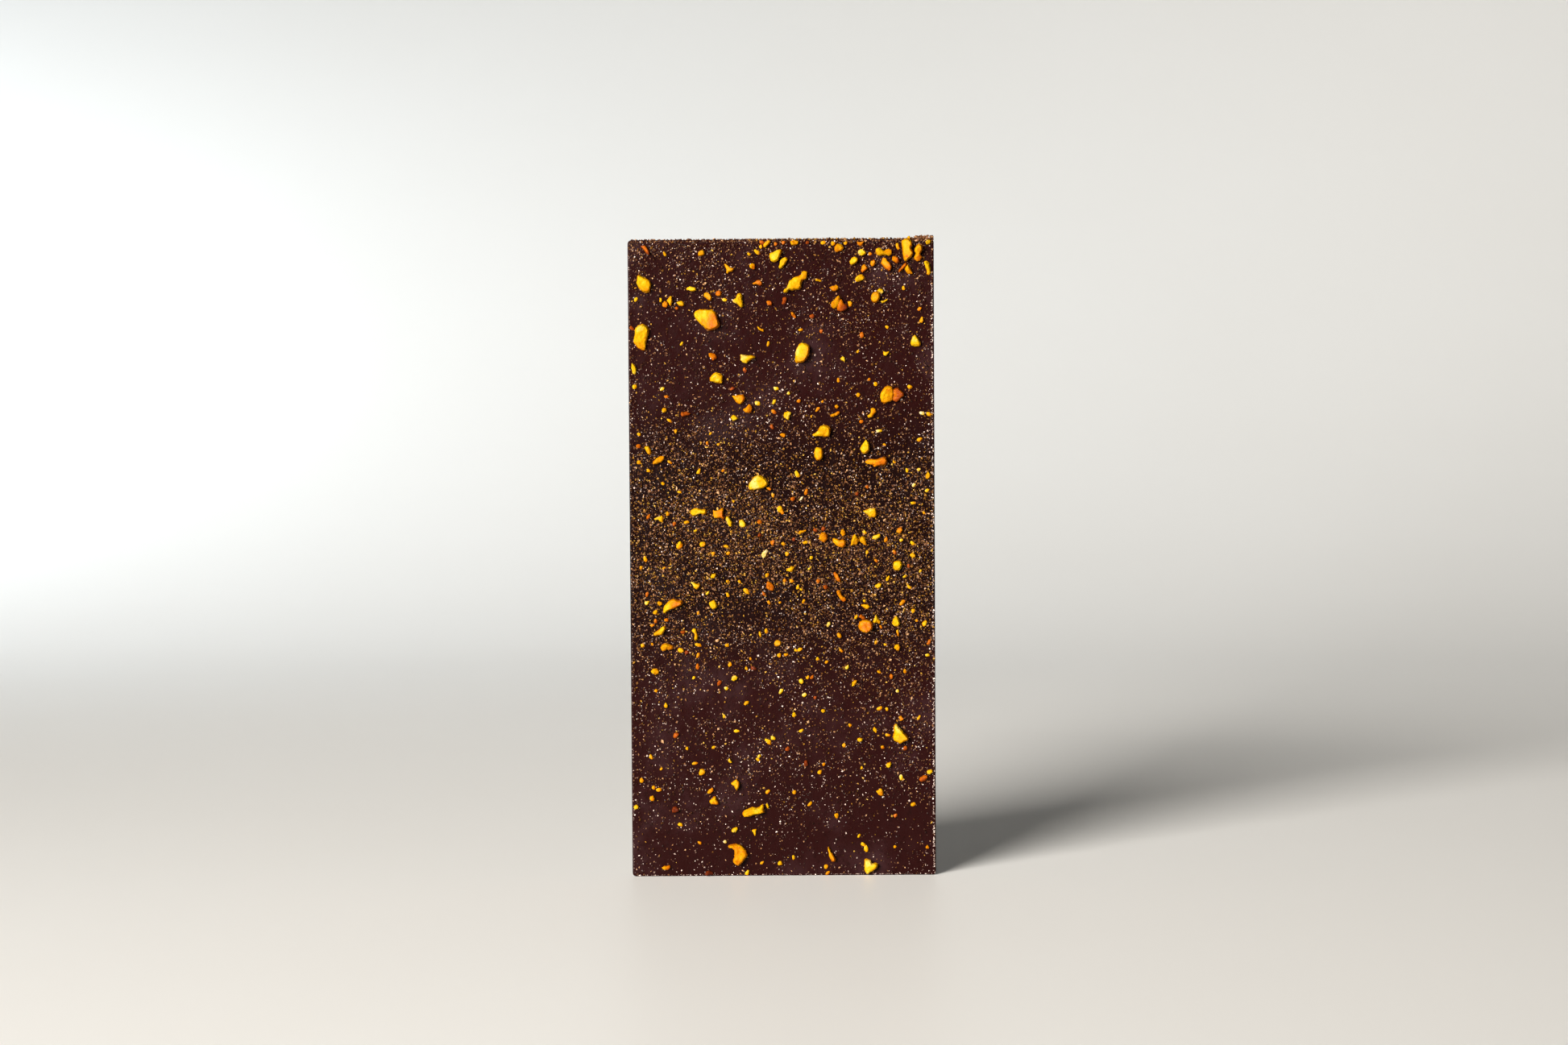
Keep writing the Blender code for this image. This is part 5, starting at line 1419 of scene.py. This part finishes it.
# How many crumbs, from where to where across, up and behind the face, and their usual width, all in
# millimetres, how bright most are, and their material.
RIM_WIDTH = BAR_WIDTH / MM
TOP = BAR_HEIGHT / MM
RIMS = (
    # The first three rows are pale crumbs that also serve as painted highlight along the rim's edges.
    (620, (RIM_WIDTH - 0.75, RIM_WIDTH - 0.3), (1, 152), (0, 0), 0.3, 0.75, sugar_dust),
    (260, (0.25, 0.5), (1, 158), (0, 0), 0.24, 0.5, sugar_dust),
    (230, (1, RIM_WIDTH - 1), (0.25, 0.42), (0, 0), 0.22, 0.62, sugar_dust),
    (420, (0.6, RIM_WIDTH - 0.6), (TOP - 0.6, TOP - 0.2), (0, 0), 0.36, 0.5, brown_dust),
    (380, (0.8, RIM_WIDTH - 0.8), (TOP, TOP + 0.12), (0.25, TOP_SEAT), 0.4, 0.55, brown_dust),
    (150, (30, RIM_WIDTH - 1), (TOP - 0.3, TOP + 0.15), (0.1, TOP_SEAT), 0.5, 0.6, golden_dust),
    (170, (71.6, RIM_WIDTH - 0.2), (TOP - 0.5, TOP + 0.7), (-0.6, 1.0), 0.62, 0.62, brown_dust),
)
crumbs = [rim_crumbs(count, across, up, usual, depth) for count, across, up, depth, usual, _, _ in RIMS]
for index, ((middles, widths), (*_, middling, material)) in enumerate(zip(crumbs, RIMS), 1):
    brightness = np.clip(dust_draw.normal(middling, RIM_BRIGHTNESS_SPREAD, len(widths)), 0, 1)
    add_grains(f"rim_crumbs_{index}", middles, widths, brightness, CRUMB, material)


# The floor and the light
# A sheet of pale paper runs flat under the bar and sweeps up all round, darker far off. A soft box stands
# at the front left, one lamp washes the left of the sheet behind and a weak one its right, and the camera
# looks at the strewn face from a little above, rolled a little.

PAPER_MIDDLE = (0, 0.6, 0)
PAPER_NEAR = 1.2
PAPER_FAR = 1.7
PAPER_COLOUR = (0.8, 0.775, 0.73, 1)
PAPER_PATCH_COLOUR = (0.78, 0.75, 0.7, 1)
PAPER_FAR_COLOUR = (0.11, 0.108, 0.106, 1)
FLOOR_RADIUS = 2.4
FLOOR_BEHIND = 0.55
SWEEP_CORNERS = 128
SWEEP_RADIUS = 1.3
SWEEP_STEPS = 20
SWEEP_TOP = 1.4


def pull_in_behind(factor, level):
    """Scales the selected ring's half behind the bar towards the bar."""
    ring = bmesh.from_edit_mesh(sweep.data)
    picked = [corner for corner in ring.verts if corner.select]
    for corner in picked:
        corner.select_set(corner.co.y > 0)
    ring.select_flush_mode()
    bpy.ops.transform.resize(value=(1, factor, 1), center_override=(0, 0, level))
    for corner in picked:
        corner.select_set(True)
    ring.select_flush(True)


deselect_all()
bpy.ops.mesh.primitive_circle_add(
    vertices=SWEEP_CORNERS, radius=FLOOR_RADIUS, fill_type="NGON", location=(0, 0, 0)
)
sweep = bpy.context.object
sweep.name = "pale_sweep"
bpy.ops.object.mode_set(mode="EDIT")
bpy.ops.mesh.select_mode(type="VERT")
bpy.ops.mesh.select_all(action="SELECT")
pull_in_behind(FLOOR_BEHIND / FLOOR_RADIUS, 0)
radius, behind, level = FLOOR_RADIUS, FLOOR_BEHIND, 0.0
for step in range(1, SWEEP_STEPS + 1):
    angle = math.pi / 2 * step / SWEEP_STEPS
    next_radius = FLOOR_RADIUS + SWEEP_RADIUS * math.sin(angle)
    next_behind = FLOOR_BEHIND + SWEEP_RADIUS * math.sin(angle)
    next_level = SWEEP_RADIUS * (1 - math.cos(angle))
    bpy.ops.mesh.extrude_region_move(TRANSFORM_OT_translate={"value": (0, 0, next_level - level)})
    grow = next_radius / radius
    bpy.ops.transform.resize(value=(grow, grow, 1), center_override=(0, 0, next_level))
    pull_in_behind(next_behind / (behind * grow), next_level)
    radius, behind, level = next_radius, next_behind, next_level
bpy.ops.mesh.extrude_region_move(TRANSFORM_OT_translate={"value": (0, 0, SWEEP_TOP - level)})
bpy.ops.mesh.select_all(action="SELECT")
bpy.ops.mesh.normals_make_consistent(inside=True)
bpy.ops.object.mode_set(mode="OBJECT")
bpy.ops.object.shade_smooth()

paper, wiring, shader, place = new_material("pale_paper")
paper_tone = wiring.add_group(
    patches, Place=place, Size=0.35, Cover=0.5, Edge=0.3,
    Colour=PAPER_COLOUR, Patch_Colour=PAPER_PATCH_COLOUR,
)
off_middle = wiring.add("ShaderNodeVectorMath", _0=place, _1=PAPER_MIDDLE)
off_middle.operation = "DISTANCE"
far_off = wiring.step(off_middle.outputs["Value"], PAPER_NEAR, PAPER_FAR)
paper_colour = wiring.mix(far_off, paper_tone["Colour"], PAPER_FAR_COLOUR)
wiring.feed(shader, Base_Color=paper_colour, Roughness=0.45, Specular_IOR_Level=0.25)
sweep.data.materials.append(paper)


def add_lamp(name, place, aim, size, power, spread, colour):
    """A square soft box at a place, facing another, its light held within spread degrees."""
    data = bpy.data.lights.new(name, "AREA")
    data.size = size
    data.energy = power
    data.spread = math.radians(spread)
    data.color = colour
    lamp = bpy.data.objects.new(name, data)
    bpy.context.scene.collection.objects.link(lamp)
    lamp.location = place
    lamp.rotation_euler = (Vector(aim) - Vector(place)).to_track_quat("-Z", "Y").to_euler()
    lamp.visible_camera = False


BAR_MIDDLE = Vector((0, 0, BAR_HEIGHT / 2))
KEY_TURN = math.radians(32)
KEY_RISE = math.radians(16.5)
KEY_DISTANCE = 2.0
key_direction = Vector((
    -math.sin(KEY_TURN) * math.cos(KEY_RISE),
    -math.cos(KEY_TURN) * math.cos(KEY_RISE),
    math.sin(KEY_RISE),
))
# Name, where it stands, what it faces, its width in metres, its watts, its spread in degrees, its colour.
LAMPS = (
    ("key", BAR_MIDDLE + key_direction * KEY_DISTANCE, BAR_MIDDLE, 0.95, 19.5, 66, (1.0, 0.985, 0.96)),
    ("wall_wash", (-1.12, 0.74, 0.66), (-0.5, 1.12, 0.0), 0.45, 5.8, 96, (0.8, 0.9, 1.0)),
    ("wall_fill", (0.5, 0.9, 1.1), (0.4, 1.6, 0.1), 0.5, 0.34, 90, (0.84, 0.92, 1.0)),
)
for row in LAMPS:
    add_lamp(*row)

WORLD_COLOUR = (0.97, 0.98, 1.0, 1)
WORLD_STRENGTH = 0.005
world = bpy.data.worlds.new("studio")
world.use_nodes = True
world.node_tree.nodes["Background"].inputs["Color"].default_value = WORLD_COLOUR
world.node_tree.nodes["Background"].inputs["Strength"].default_value = WORLD_STRENGTH
bpy.context.scene.world = world
bpy.context.scene.view_settings.view_transform = "Standard"

LENS = 85.0
SENSOR = 36.0
CAMERA_DISTANCE = 927 * MM
CAMERA_HEIGHT = 141 * MM
CAMERA_ASIDE = 0.44 * MM
CAMERA_PITCH = math.radians(3.2)
CAMERA_ROLL = math.radians(-0.34)

camera_data = bpy.data.cameras.new("camera")
camera_data.lens = LENS
camera_data.sensor_width = SENSOR
camera_data.clip_start = 0.01
camera_data.clip_end = 20
camera = bpy.data.objects.new("camera", camera_data)
bpy.context.scene.collection.objects.link(camera)
look = Matrix.Rotation(math.radians(90) - CAMERA_PITCH, 4, "X") @ Matrix.Rotation(CAMERA_ROLL, 4, "Z")
camera.matrix_world = Matrix.Translation((CAMERA_ASIDE, FACE_Y - CAMERA_DISTANCE, CAMERA_HEIGHT)) @ look
bpy.context.scene.camera = camera
